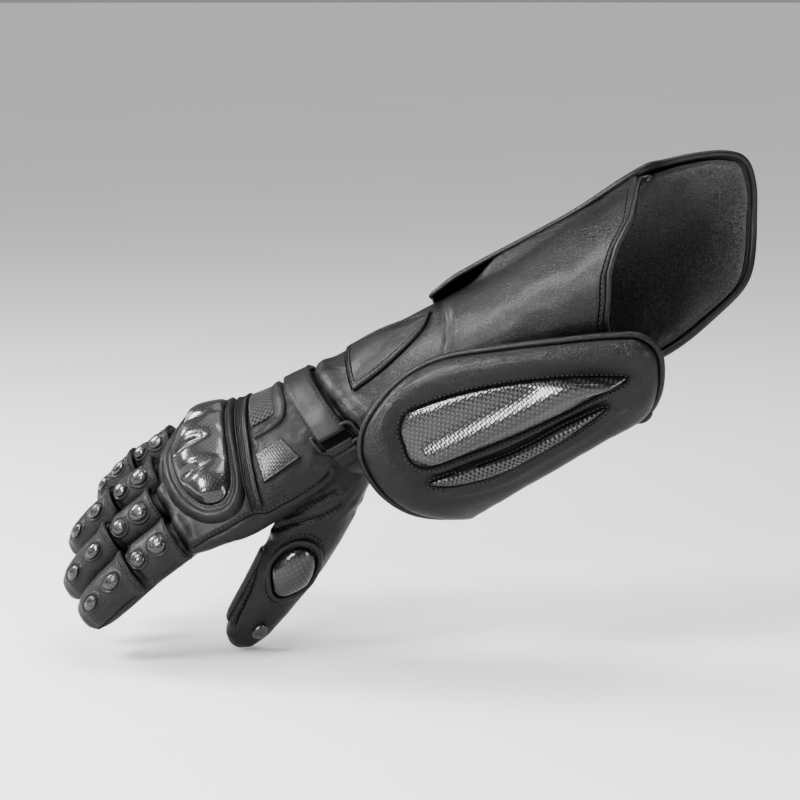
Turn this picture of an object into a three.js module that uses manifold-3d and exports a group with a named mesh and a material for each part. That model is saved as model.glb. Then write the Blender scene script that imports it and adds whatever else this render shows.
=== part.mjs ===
// A black armoured leather fencing glove for the right hand, shaped as it sits on an arm.
// Glove frame: X runs from the wrist up the forearm, Y points to the little finger side,
// Z points out of the back of the hand. The middle of the wrist is zero. Millimetres.
import * as THREE from "three";
import { mergeVertices } from "three/addons/utils/BufferGeometryUtils.js";
import Module from "manifold-3d";

const wasm = await Module();
wasm.setup();

// How the glove hangs: the forearm rises toward the elbow and is rolled thumb side down.
const FOREARM_PITCH_DEG = 27;
const FOREARM_ROLL_DEG = 46.5;
// The middle of the sleeve's mouth, in the glove frame. It becomes the part's origin.
const MOUTH_CENTRE = [226, 0, 0];
// How the hand sits on the wrist: turned to the thumb side, bent back, and rolled.
const HAND_TURN_DEG = 7;
const HAND_BACK_DEG = 9.3;
const HAND_ROLL_DEG = -4.9;

const LEATHER = 2.4;
const GAP = 0.35;
const WRIST_SEAM = 1;

// Hand body from the wrist to the finger webs, in the hand's own frame.
const HAND_SIDES = 16;
const HAND_SECTIONS = [
  { x: 16, y: 0, z: 0, wide: 36, deep: 29 },
  { x: -8, y: -0.5, z: 0, wide: 36, deep: 27.5 },
  { x: -32, y: -3, z: 0.5, wide: 40.5, deep: 25.5 },
  { x: -56, y: -4.5, z: 1.5, wide: 45.5, deep: 23 },
  { x: -80, y: -5, z: 3, wide: 49.5, deep: 21 },
  { x: -98, y: -4, z: 3.5, wide: 49, deep: 18.5 },
  { x: -113, y: -3, z: 2, wide: 47, deep: 15 },
];

// The front of the hand runs back toward the little finger.
const FRONT_SLANT = 0.42;

// Each finger starts inside the hand at its knuckle and has three bones.
const FINGER_SIDES = 10;
const FINGERS = [
  {
    name: "index", x: -94, y: -35, z: 6.5, spread: 5, roll: 24, pitch: [12, 17, 24],
    bones: [45, 27, 26], wide: 12.6, deep: 12.4,
  },
  {
    name: "middle", x: -97, y: -9.5, z: 9.5, spread: 3, roll: 18, pitch: [14, 21, 28],
    bones: [48, 30, 24], wide: 11.8, deep: 12,
  },
  {
    name: "ring", x: -92, y: 14.5, z: 6.5, spread: -2, roll: 9, pitch: [14, 21, 28],
    bones: [45, 29, 25], wide: 11.1, deep: 11.6,
  },
  {
    name: "little", x: -82, y: 36.5, z: 1, spread: -7.5, roll: -2, pitch: [15, 21, 28],
    bones: [38, 23, 25], wide: 10.3, deep: 10.8,
  },
];
const FINGER_SECTIONS = [
  { along: 0.0, wide: 0.85, deep: 0.85 },
  { along: 0.2, wide: 1.0, deep: 1.0 },
  { along: 0.5, wide: 1.0, deep: 1.0 },
  { along: 0.72, wide: 0.98, deep: 0.94 },
  { along: 0.87, wide: 0.9, deep: 0.8 },
  { along: 0.95, wide: 0.72, deep: 0.6 },
  { along: 1.0, wide: 0.38, deep: 0.32 },
];

// Armour on each finger: two leather caps, each with two raised studs.
const CAP_COLUMNS = [14, 36, 72, 108, 144, 166];
const CAPS = [
  { name: "lower", stations: [0.21, 0.34, 0.5, 0.515], thick: 2.4, lift: 0 },
  { name: "upper", stations: [0.522, 0.6, 0.72, 0.87, 0.95, 0.975], thick: 2.2, lift: 1.6 },
];
const STUDS = [
  { name: "a", along: 0.315, long: 6.8, wide: 6.6, tall: 3.2 },
  { name: "b", along: 0.455, long: 5.2, wide: 5.6, tall: 2.8 },
  { name: "c", along: 0.66, long: 6.4, wide: 4.9, tall: 3 },
  { name: "d", along: 0.84, long: 6.2, wide: 4.6, tall: 2.6 },
];

// Thumb: middle line and half sizes, in the glove frame.
const THUMB_SECTIONS = [
  { x: -8, y: -21, z: -6, wide: 20, deep: 18 },
  { x: -38, y: -38.5, z: -22, wide: 20.5, deep: 17.5 },
  { x: -67, y: -52.5, z: -35.5, wide: 19, deep: 16 },
  { x: -87.5, y: -61.5, z: -43.5, wide: 16.5, deep: 14.5 },
  { x: -107, y: -70, z: -50, wide: 14, deep: 12 },
  { x: -117.5, y: -75, z: -53.5, wide: 9.5, deep: 7.5 },
  { x: -121.5, y: -77, z: -55, wide: 4, deep: 3 },
];
const THUMB_SIDES = 12;
const THUMB_BACK = new THREE.Vector3(0.3, -0.85, 0.3);
const THUMB_START = 0.27;
const THUMB_PADS = {
  large: { along: 0.355, deg: 80, long: 15.5, wide: 12, tall: 4.5 },
  collar: { radius: 2.3, sides: 6 },
  small: { along: 0.665, deg: 97, long: 7.5, wide: 5.2, tall: 2.4 },
  knit: { from: 0.34, to: 0.74, degFrom: -34, degTo: 6, thick: 1.6 },
};

// Forearm sleeve, and the edge of its mouth round the arm. It is cut back where the shell is.
const SLEEVE_SIDES = 24;
const SLEEVE_SECTIONS = [
  { x: -16, y: 0, z: 0, wide: 36, deep: 29 },
  { x: 16, y: 0, z: 0, wide: 36.5, deep: 31 },
  { x: 45, y: 0, z: 0, wide: 37.5, deep: 34.5 },
  { x: 80, y: 0, z: 0, wide: 37, deep: 36 },
  { x: 120, y: 0, z: 0, wide: 38.5, deep: 38.5 },
  { x: 170, y: 0, z: 0, wide: 43.5, deep: 43.5 },
  { x: 214, y: 0, z: 0, wide: 49, deep: 48.5 },
  { x: 275, y: 0, z: 0, wide: 52, deep: 51 },
];
const SLEEVE_MOUTH = [
  { deg: -150, x: 124 },
  { deg: 30, x: 124 },
  { deg: 45, x: 215 },
  { deg: 75, x: 210 },
  { deg: 90, x: 205 },
  { deg: 105, x: 191 },
  { deg: 120, x: 181 },
  { deg: 135, x: 175 },
  { deg: 150, x: 168 },
  { deg: 180, x: 160 },
  { deg: 195, x: 155 },
  { deg: 210, x: 124 },
];
// Stiff shell round the little finger side, from dorsal edge to palm edge.
const SHELL_THICK = 3;
const SHELL_STAND_OFF = 0.9;
const SHELL_FLARE = 5.5;
const SHELL_ROWS = [
  { deg: 44, start: 76, end: 219 },
  { deg: 28, start: 74, end: 224 },
  { deg: 14, start: 72, end: 241 },
  { deg: 0, start: 72, end: 259 },
  { deg: -12, start: 66, end: 267 },
  { deg: -30, start: 60, end: 264 },
  { deg: -48, start: 58, end: 256 },
  { deg: -66, start: 58, end: 248 },
  { deg: -85, start: 62, end: 237 },
  { deg: -103, start: 70, end: 209 },
  { deg: -121, start: 82, end: 188 },
  { deg: -140, start: 98, end: 170 },
];
const LINING_ROWS = { from: 27, to: -136, start: 129, inset: 3 };

// Padded guard that stands off the thumb side of the forearm: part of a cylinder.
const GUARD_RADIUS = 62;
const GUARD_THICK = 4;
const PIPING_RADIUS = 2.1;
const MOUTH_PIPING = 1.5;
const GUARD_OUTLINE = [
  [8, 35], [9.5, 23.5], [17, 11.5], [33, 1], [52, -5.5], [75, -6], [110, 3],
  [143, 13.5], [169, 22.5], [184, 30], [189, 41], [183.5, 55], [173, 66.5],
  [163, 71.5], [134, 74], [106, 76.5], [78, 78.5], [50, 80.5], [38, 81], [27, 75.5],
  [16, 64.5], [9.5, 49.5],
];
const GUARD_INSERTS = [
  {
    name: "guard_insert_upper", tall: 4.6,
    outline: [
      [45, 14.5], [38.5, 20], [36, 30], [35, 38], [39, 44.5], [50, 46.5], [73, 48.5], [97, 49.5],
      [125, 49.5], [150, 48.5], [166, 47.5], [152, 40], [133, 32], [101, 22], [78, 17], [58, 14.5],
    ],
  },
  {
    name: "guard_insert_lower", tall: 2.6,
    outline: [
      [37, 54], [44, 59], [58, 63], [74, 65], [107, 63], [134, 60], [147, 57], [124, 56.5],
      [92, 58], [67, 56.5], [52, 54.5],
    ],
  },
];

// Hard knuckle guard on the back of the hand: outline and the four raised knuckles.
const KNUCKLE_OUTLINE = [
  [-61, 35], [-63, 22], [-66, 2], [-69, -18], [-73, -33], [-80, -40], [-91, -38],
  [-99, -27], [-103, -10], [-102, 6], [-97, 20], [-89, 31], [-78, 38], [-68, 39],
];
const KNUCKLE_DOME = 5;
const KNUCKLES = [
  { x: -82, y: 28, tall: 3, wide: 6.4 },
  { x: -88, y: 11, tall: 3.8, wide: 7 },
  { x: -92, y: -8, tall: 4.2, wide: 7.4 },
  { x: -90, y: -27, tall: 4.4, wide: 8.4 },
];
// Section of the padded ring round the guard: outward from the guard's edge, and height.
const KNUCKLE_RING = [[-1.1, 0.2], [-1.1, 2.2], [1, 4.2], [3, 3.6], [4.2, 0.2]];

// Ribbed band across the back of the hand, behind the guard.
const BAND = { x: -54.5, slant: 0.18, wide: 8, ribs: [0.8, 2.6, 1.4, 2.8, 1.4, 2.6, 0.8] };
// Two soft windows behind the band, with the angle round the hand and x at both ends.
const WINDOWS = [
  { name: "mesh_window", from: 22, to: 88, front: [-46, -52], rear: [-32.3, -35], thick: 1 },
  { name: "vent_window", from: 110, to: 137, front: [-54.5, -56], rear: [-37, -31], thick: 1.8 },
];
// Ridge between the windows: x and y along it, half width and height.
const RIDGE_LINE = [[-29.5, 30], [-29.2, 18], [-29.2, 8], [-31, -2], [-34.5, -7.5], [-42, -9.5], [-52, -10.5]];
const RIDGE = { half: 2.2, tall: 2.8 };

// Wrist strap: it runs aslant, over the joint of hand and sleeve.
const STRAP = { x: -7, swing: 11, deg: 20, half: 9, tall: 2.9 };
const KEEPER = { from: 131, to: 149, front: -13, rear: 9, radius: 1.3 };
const TAB = { from: 153, to: 172, front: -8, rear: 8.5, thick: 1.8 };

// Leaf-shaped patch on the sleeve: its two edges as angles along x.
const LEAF = [
  { x: 18, low: 42, high: 115 },
  { x: 34, low: 49, high: 105 },
  { x: 50, low: 56, high: 92 },
  { x: 64, low: 62, high: 79 },
  { x: 74.5, low: 66.5, high: 69 },
];
const LEAF_THICK = 1.2;

const vec = (x, y, z) => new THREE.Vector3(x, y, z);
const rad = THREE.MathUtils.degToRad;
const ease = THREE.MathUtils.smoothstep;

const handTurn = new THREE.Matrix4()
  .makeRotationZ(rad(HAND_TURN_DEG))
  .multiply(new THREE.Matrix4().makeRotationY(rad(HAND_BACK_DEG)))
  .multiply(new THREE.Matrix4().makeRotationX(rad(HAND_ROLL_DEG)));

// Reads a value between the rows of a table whose key rises or falls from row to row.
function between(rows, key, at, field) {
  const rising = rows[0][key] < rows.at(-1)[key];
  const side = rising ? 1 : -1;
  if (side * (at - rows[0][key]) <= 0) {
    return rows[0][field];
  }
  for (let i = 0; i + 1 < rows.length; i++) {
    const a = rows[i];
    const b = rows[i + 1];
    if (side * (at - b[key]) <= 0) {
      return a[field] + ((b[field] - a[field]) * (at - a[key])) / (b[key] - a[key]);
    }
  }
  return rows.at(-1)[field];
}

function body(points, index) {
  const g = new THREE.BufferGeometry().setFromPoints(points);
  g.setIndex(index);
  const m = mergeVertices(g, 1e-4);
  const make = (tri) =>
    new wasm.Manifold(
      new wasm.Mesh({
        numProp: 3,
        vertProperties: new Float32Array(m.attributes.position.array),
        triVerts: new Uint32Array(tri),
      }),
    );
  const made = make(m.index.array);
  if (made.volume() >= 0) {
    return made;
  }
  const turned = [];
  for (let i = 0; i < m.index.array.length; i += 3) {
    turned.push(m.index.array[i], m.index.array[i + 2], m.index.array[i + 1]);
  }
  return make(turned);
}

// A solid through a row of rings, closed at both ends, or joined to itself as a loop.
function loft(rings, loop = false) {
  const sides = rings[0].length;
  const points = rings.flat();
  const index = [];
  for (let i = 0; i + 1 < rings.length + (loop ? 1 : 0); i++) {
    const j = (i + 1) % rings.length;
    for (let k = 0; k < sides; k++) {
      const next = (k + 1) % sides;
      const a = i * sides + k;
      const b = i * sides + next;
      index.push(a, b, j * sides + next, a, j * sides + next, j * sides + k);
    }
  }
  if (loop) {
    return body(points, index);
  }
  for (const row of [0, rings.length - 1]) {
    const middle = vec(0, 0, 0);
    rings[row].forEach((p) => middle.add(p));
    points.push(middle.divideScalar(sides));
    const m = points.length - 1;
    for (let k = 0; k < sides; k++) {
      const a = row * sides + k;
      const b = row * sides + ((k + 1) % sides);
      index.push(...(row === 0 ? [m, b, a] : [m, a, b]));
    }
  }
  return body(points, index);
}

// A curved plate: a grid of outer points and a grid of inner points, joined round the edge.
function plate(nu, nv, at) {
  const points = [];
  for (const side of [0, 1]) {
    for (let i = 0; i <= nu; i++) {
      for (let j = 0; j <= nv; j++) {
        points.push(at(i / nu, j / nv, side));
      }
    }
  }
  const id = (side, i, j) => side * (nu + 1) * (nv + 1) + i * (nv + 1) + j;
  const index = [];
  const quad = (a, b, c, d) => index.push(a, b, c, a, c, d);
  for (let i = 0; i < nu; i++) {
    for (let j = 0; j < nv; j++) {
      quad(id(0, i, j), id(0, i + 1, j), id(0, i + 1, j + 1), id(0, i, j + 1));
      quad(id(1, i, j), id(1, i, j + 1), id(1, i + 1, j + 1), id(1, i + 1, j));
    }
  }
  for (let i = 0; i < nu; i++) {
    quad(id(0, i, 0), id(1, i, 0), id(1, i + 1, 0), id(0, i + 1, 0));
    quad(id(0, i + 1, nv), id(1, i + 1, nv), id(1, i, nv), id(0, i, nv));
  }
  for (let j = 0; j < nv; j++) {
    quad(id(0, 0, j + 1), id(1, 0, j + 1), id(1, 0, j), id(0, 0, j));
    quad(id(0, nu, j), id(1, nu, j), id(1, nu, j + 1), id(0, nu, j + 1));
  }
  return body(points, index);
}

// A pad on a surface. The rings shrink from the outline to its middle.
// top(ring share, u, v) and bottom(ring share, u, v) give heights for the surface's own map.
function pillow(outline, shares, map, top, bottom) {
  const n = outline.length;
  const mid = [0, 1].map((k) => outline.reduce((s, p) => s + p[k], 0) / n);
  const at = (p, share) => [p[0] + (mid[0] - p[0]) * share, p[1] + (mid[1] - p[1]) * share];
  const points = [];
  for (const height of [top, bottom]) {
    for (const share of shares) {
      for (const p of outline) {
        const [u, v] = at(p, share);
        points.push(map(u, v, height(share, u, v)));
      }
    }
    points.push(map(mid[0], mid[1], height(1, mid[0], mid[1])));
  }
  const rows = shares.length;
  const half = rows * n + 1;
  const index = [];
  for (let r = 0; r + 1 < rows; r++) {
    for (let k = 0; k < n; k++) {
      const a = r * n + k;
      const b = r * n + ((k + 1) % n);
      index.push(a, b, b + n, a, b + n, a + n);
      index.push(half + a, half + b + n, half + b, half + a, half + a + n, half + b + n);
    }
  }
  for (let k = 0; k < n; k++) {
    const next = (k + 1) % n;
    const a = (rows - 1) * n + k;
    const b = (rows - 1) * n + next;
    index.push(a, b, half - 1);
    index.push(half + b, half + a, 2 * half - 1);
    index.push(k, half + k, half + next, k, half + next, next);
  }
  return body(points, index);
}

// A round cord whose middle follows a row of points.
function cord(path, radius, sides, closed) {
  const n = path.length;
  const rings = [];
  for (let i = 0; i < n; i++) {
    const before = path[closed ? (i + n - 1) % n : Math.max(i - 1, 0)].at;
    const after = path[closed ? (i + 1) % n : Math.min(i + 1, n - 1)].at;
    const d = after.clone().sub(before).normalize();
    const up = path[i].up.clone().addScaledVector(d, -path[i].up.dot(d)).normalize();
    const side = d.clone().cross(up);
    const ring = [];
    for (let k = 0; k < sides; k++) {
      const a = (2 * Math.PI * k) / sides;
      const p = path[i].at.clone().addScaledVector(side, radius * Math.cos(a));
      ring.push(p.addScaledVector(up, radius * Math.sin(a)));
    }
    rings.push(ring);
  }
  return loft(rings, closed);
}

// A smooth closed outline through the corners of a table.
function smooth(corners, count) {
  const curve = new THREE.CatmullRomCurve3(corners.map(([u, v]) => vec(u, v, 0)), true, "centripetal");
  return curve.getSpacedPoints(count).slice(0, count).map((p) => [p.x, p.y]);
}
function ellipse(u, v, half, other, count) {
  const out = [];
  for (let k = 0; k < count; k++) {
    const a = (2 * Math.PI * k) / count;
    out.push([u + half * Math.cos(a), v + other * Math.sin(a)]);
  }
  return out;
}
function grown(outline, by) {
  const n = outline.length;
  const mid = [0, 1].map((k) => outline.reduce((s, p) => s + p[k], 0) / n);
  return outline.map((p, i) => {
    const a = outline[(i + n - 1) % n];
    const b = outline[(i + 1) % n];
    let nx = b[1] - a[1];
    let ny = a[0] - b[0];
    const len = Math.hypot(nx, ny);
    if (nx * (p[0] - mid[0]) + ny * (p[1] - mid[1]) < 0) {
      nx = -nx;
      ny = -ny;
    }
    return [p[0] + (by * nx) / len, p[1] + (by * ny) / len];
  });
}

// The back and palm of the hand.
const toGlove = (p) => p.applyMatrix4(handTurn);
function handPoint(x, deg, height) {
  const row = (field) => between(HAND_SECTIONS, "x", x, field);
  const c = Math.cos(rad(deg));
  const across = Math.pow(Math.abs(c), 0.9) * Math.sign(c);
  const y = row("y") + (row("wide") + height) * across;
  const z = row("z") + (row("deep") + height) * Math.sin(rad(deg));
  const back = FRONT_SLANT * Math.max(0, y - 10) * ease(-x, 80, 112);
  return toGlove(vec(x + back, y, z));
}
function backPoint(x, y, height) {
  const share = (y - between(HAND_SECTIONS, "x", x, "y")) / between(HAND_SECTIONS, "x", x, "wide");
  const held = Math.min(Math.abs(share), 0.995);
  const c = Math.pow(held, 1 / 0.9) * Math.sign(share);
  return handPoint(x, THREE.MathUtils.radToDeg(Math.acos(c)), height);
}
function handRings(grow) {
  return HAND_SECTIONS.map((row, i) => {
    const ring = [];
    const ahead = i === HAND_SECTIONS.length - 1 ? grow : 0;
    for (let k = 0; k < HAND_SIDES; k++) {
      const p = handPoint(row.x, (360 * k) / HAND_SIDES, grow);
      ring.push(p.add(toGlove(vec(-ahead, 0, 0))));
    }
    return ring;
  });
}

// The fingers.
function fingerFrame(f, along) {
  const length = f.bones[0] + f.bones[1] + f.bones[2];
  const joints = [f.bones[0] / length, (f.bones[0] + f.bones[1]) / length];
  const pitchAt = (t) => {
    const first = (f.pitch[1] - f.pitch[0]) * ease(t, joints[0] - 0.12, joints[0] + 0.12);
    const second = (f.pitch[2] - f.pitch[1]) * ease(t, joints[1] - 0.12, joints[1] + 0.12);
    return rad(f.pitch[0] + first + second);
  };
  const turn = rad(f.spread);
  const upright = vec(0, 0, 1);
  const ahead = (q) => vec(-Math.cos(q), 0, -Math.sin(q)).applyAxisAngle(upright, turn);
  const p = vec(f.x, f.y, f.z);
  const steps = 20;
  for (let i = 0; i < steps; i++) {
    p.addScaledVector(ahead(pitchAt((along * (i + 0.5)) / steps)), (along * length) / steps);
  }
  const q = pitchAt(along);
  const d = ahead(q);
  const up = vec(-Math.sin(q), 0, Math.cos(q)).applyAxisAngle(upright, turn);
  const side = vec(0, 1, 0).applyAxisAngle(upright, turn);
  up.applyAxisAngle(d, -rad(f.roll));
  side.applyAxisAngle(d, -rad(f.roll));
  return { p, d, up, side };
}
function fingerPoint(f, along, deg, height) {
  const t = Math.min(along, 1);
  const { p, d, up, side } = fingerFrame(f, t);
  const wide = f.wide * between(FINGER_SECTIONS, "along", t, "wide") + height;
  const deep = f.deep * between(FINGER_SECTIONS, "along", t, "deep") + height;
  p.addScaledVector(side, wide * Math.cos(rad(deg)));
  p.addScaledVector(up, deep * Math.sin(rad(deg)));
  p.addScaledVector(d, t > 0.97 ? height : 0);
  return toGlove(p);
}
function fingerRings(f, grow) {
  return FINGER_SECTIONS.map((row) => {
    const ring = [];
    for (let k = 0; k < FINGER_SIDES; k++) {
      ring.push(fingerPoint(f, row.along, (360 * k) / FINGER_SIDES, grow));
    }
    return ring;
  });
}

// The thumb.
const thumbLine = new THREE.CatmullRomCurve3(THUMB_SECTIONS.map((row) => vec(row.x, row.y, row.z)));
function thumbPoint(along, deg, height) {
  const last = THUMB_SECTIONS.length - 1;
  const t = Math.min(Math.max(along, 0), 1);
  const p = thumbLine.getPoint(t);
  const d = thumbLine.getTangent(t);
  const up = THUMB_BACK.clone().addScaledVector(d, -THUMB_BACK.dot(d)).normalize();
  const side = d.clone().cross(up);
  const i = Math.min(Math.floor(t * last), last - 1);
  const s = t * last - i;
  const read = (field) => THUMB_SECTIONS[i][field] * (1 - s) + THUMB_SECTIONS[i + 1][field] * s;
  p.addScaledVector(side, (read("wide") + height) * Math.cos(rad(deg)));
  p.addScaledVector(up, (read("deep") + height) * Math.sin(rad(deg)));
  p.addScaledVector(d, t > 0.97 ? height : 0);
  return p;
}
function thumbRings(grow) {
  return THUMB_SECTIONS.map((row, i) => {
    const ring = [];
    for (let k = 0; k < THUMB_SIDES; k++) {
      ring.push(thumbPoint(i / (THUMB_SECTIONS.length - 1), (360 * k) / THUMB_SIDES, grow));
    }
    return ring;
  });
}

// The forearm. Near the wrist the shell's dorsal edge stands a little further off the sleeve.
const shellFlare = (x, deg) => {
  return SHELL_FLARE * ease(x, 60, 98) * (1 - 0.75 * ease(x, 108, 190)) * ease(deg, -10, 40);
};
function sleevePoint(x, deg, height) {
  const row = (field) => between(SLEEVE_SECTIONS, "x", x, field);
  const y = row("y") + (row("wide") + height) * Math.cos(rad(deg));
  const z = row("z") + (row("deep") + height) * Math.sin(rad(deg));
  return vec(x, y, z);
}
function sleeveRings(grow, past) {
  const stations = [-16, 16, 60, 120, 0.5, 1];
  return stations.map((station) => {
    const ring = [];
    for (let k = 0; k < SLEEVE_SIDES; k++) {
      const deg = -150 + (360 * k) / SLEEVE_SIDES;
      const end = between(SLEEVE_MOUTH, "deg", deg, "x") + past;
      const x = station > 0 && station <= 1 ? 120 + (end - 120) * station : station;
      ring.push(sleevePoint(x, deg, grow));
    }
    return ring;
  });
}
// The guard's own surface: x along the arm, and across it the distance as seen square on.
function guardPoint(x, across, height) {
  const middle = 22 - 0.03 * x;
  const back = -19 + 0.03 * x;
  const s = THREE.MathUtils.clamp((across - middle) / GUARD_RADIUS, -0.999, 0.999);
  const a = Math.asin(s);
  const m = middle + (GUARD_RADIUS + height) * Math.sin(a);
  const t = back + (GUARD_RADIUS + height) * Math.cos(a);
  return vec(x, -0.766 * m - 0.643 * t, -0.643 * m + 0.766 * t);
}
function guardUp(x, across) {
  return guardPoint(x, across, 1).sub(guardPoint(x, across, 0));
}

function toMesh(name, made, material) {
  const m = made.getMesh();
  const n = m.numProp;
  const v = new Float32Array(m.numVert * 3);
  for (let i = 0; i < m.numVert; i++) {
    v.set(m.vertProperties.subarray(i * n, i * n + 3), i * 3);
  }
  const g = new THREE.BufferGeometry();
  g.setAttribute("position", new THREE.BufferAttribute(v, 3));
  g.setIndex(new THREE.BufferAttribute(new Uint32Array(m.triVerts), 1));
  const mesh = new THREE.Mesh(g, material);
  mesh.name = name;
  return mesh;
}

const look = (color, roughness) => new THREE.MeshStandardMaterial({ color, roughness, metalness: 0 });
const leather = look(0x1b1b1d, 0.5);
const softLeather = look(0x232326, 0.55);
const carbon = look(0x2e2f31, 0.15);
const knit = look(0x17171a, 0.85);
const fleece = look(0x0e0e10, 0.95);
const glove = new THREE.Group();
const add = (name, made, material) => glove.add(toMesh(name, largest(made), material));

// A cut can leave crumbs beside the piece; the piece is the largest body.
function largest(made) {
  return made.decompose().reduce((a, b) => (b.volume() > a.volume() ? b : a));
}

// A block that holds everything past a plane, within a reach round the plane's middle.
function pastPlane(at, ahead, up, reach) {
  const side = ahead.clone().cross(up).normalize();
  const corners = [[-1, -1], [1, -1], [1, 1], [-1, 1]];
  const ring = (step) =>
    corners.map(([a, b]) => {
      const p = at.clone().addScaledVector(ahead, step);
      return p.addScaledVector(side, a * reach[0]).addScaledVector(up, b * reach[1]);
    });
  return loft([ring(0), ring(reach[2])]);
}
const towardArm = vec(1, 0, 0);
const upright = vec(0, 0, 1);

// Leather hand: one hollow form for the palm and thumb root, open to each finger.
const fingerForm = (f, grow) => loft(fingerRings(f, grow));
const palmForm = (grow) => loft(handRings(grow)).add(loft(thumbRings(grow)));
const grownHand = palmForm(GAP);
let hollow = palmForm(-LEATHER);
for (const f of FINGERS) {
  hollow = hollow.add(fingerForm(f, -LEATHER));
  f.tube = fingerForm(f, 0).subtract(fingerForm(f, -LEATHER));
  f.stall = largest(f.tube.subtract(grownHand));
}
let handShell = palmForm(0).subtract(hollow);
handShell = handShell.subtract(pastPlane(vec(WRIST_SEAM - 0.4, 0, 0), towardArm, upright, [90, 90, 90]));
// The thumb stall is cut off square to the thumb.
const last = THUMB_SECTIONS.length - 1;
const thumbAt = thumbLine.getPoint(THUMB_START);
const thumbAhead = thumbLine.getTangent(THUMB_START);
const thumbHigh = THUMB_BACK.clone().addScaledVector(thumbAhead, -THUMB_BACK.dot(thumbAhead));
thumbHigh.normalize();
const thumbCut = (step, half) => {
  const at = thumbAt.clone().addScaledVector(thumbAhead, step);
  return pastPlane(at, thumbAhead, thumbHigh, [half, 24, 120]);
};
const thumbOwn = loft(thumbRings(0)).subtract(loft(thumbRings(-LEATHER)));
const thumbStall = largest(thumbOwn.intersect(thumbCut(GAP, 24)).subtract(loft(handRings(GAP))));
handShell = largest(handShell.subtract(thumbCut(0, 25)));
add("hand_shell", handShell, leather);
for (const f of FINGERS) {
  add(f.name + "_stall", f.stall, leather);
}
add("thumb_stall", thumbStall, leather);

// Caps and studs on the fingers.
function capForm(f, cap) {
  const columns = CAP_COLUMNS.length - 1;
  const rows = cap.stations.length - 1;
  return plate(columns, rows, (u, v, side) => {
    const along = cap.stations[Math.round(v * rows)];
    const deg = CAP_COLUMNS[Math.round(u * columns)];
    const edge = Math.abs(deg - 90) / 76;
    const lift = cap.lift * (1 - ease(along, cap.stations[0], cap.stations[1]));
    const top = cap.thick * (1 - 0.35 * edge * edge) + lift + GAP;
    return fingerPoint(f, along, deg, side === 0 ? top : GAP);
  });
}
function studForm(f, stud, cap) {
  const length = f.bones[0] + f.bones[1] + f.bones[2];
  const outline = ellipse(0, 0, stud.long, stud.wide, 8);
  const floor = cap.thick + 2 * GAP;
  const map = (u, v, height) => {
    const deg = 90 + THREE.MathUtils.radToDeg(v / (f.deep + floor));
    return fingerPoint(f, stud.along + u / length, deg, height);
  };
  const top = (share) => floor + 0.6 + stud.tall * Math.sqrt(1 - Math.pow(1 - share, 2.2));
  return pillow(outline, [0, 0.35], map, top, () => floor);
}
for (const f of FINGERS) {
  for (const cap of CAPS) {
    add(f.name + "_cap_" + cap.name, capForm(f, cap).subtract(grownHand), softLeather);
  }
  for (const stud of STUDS) {
    const cap = stud.along < CAPS[1].stations[0] ? CAPS[0] : CAPS[1];
    add(f.name + "_stud_" + stud.name, studForm(f, stud, cap), carbon);
  }
}

// Armour of the thumb.
const thumbLength = thumbLine.getLength();
const thumbMap = (pad) => (u, v, height) => {
  const deg = pad.deg + THREE.MathUtils.radToDeg(v / 19);
  return thumbPoint(pad.along - u / thumbLength, deg, height);
};
function thumbPad(pad) {
  const top = (share) => 1.2 + pad.tall * Math.sqrt(1 - Math.pow(1 - share, 2.2));
  return pillow(ellipse(0, 0, pad.long, pad.wide, 14), [0, 0.2, 0.55], thumbMap(pad), top, () => -1.5);
}
const grownThumb = loft(thumbRings(GAP)).add(loft(handRings(GAP)));
add("thumb_guard", thumbPad(THUMB_PADS.large).subtract(grownThumb), carbon);
add("thumb_tip_stud", thumbPad(THUMB_PADS.small).subtract(grownThumb), carbon);
const collar = THUMB_PADS.collar;
const collarReach = collar.radius + GAP + 0.2;
const collarMap = thumbMap(THUMB_PADS.large);
const collarOutline = ellipse(
  0, 0, THUMB_PADS.large.long + collarReach, THUMB_PADS.large.wide + collarReach, 16,
);
const collarPath = collarOutline.map(([u, v]) => {
  const at = collarMap(u, v, collar.radius - 0.4);
  return { at, up: collarMap(u, v, 8).sub(at).normalize() };
});
add("thumb_guard_collar", cord(collarPath, collar.radius, collar.sides, true).subtract(grownThumb), softLeather);
const strip = THUMB_PADS.knit;
const knitStrip = plate(2, 5, (u, v, side) => {
  const along = strip.from + (strip.to - strip.from) * v;
  const deg = strip.degFrom + (strip.degTo - strip.degFrom) * u;
  return thumbPoint(along, deg, side === 0 ? strip.thick : -1.2);
});
add("thumb_knit_strip", knitStrip.subtract(grownThumb), knit);

// Forearm sleeve of soft leather, open at the mouth.
const sleeveCut = pastPlane(vec(WRIST_SEAM, 0, 0), vec(-1, 0, 0), upright, [90, 90, 60]);
const sleeve = loft(sleeveRings(0, 0)).subtract(loft(sleeveRings(-LEATHER, 40)));
add("forearm_sleeve", sleeve.subtract(sleeveCut), leather);
const grownSleeve = loft(sleeveRings(GAP, 0));

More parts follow.
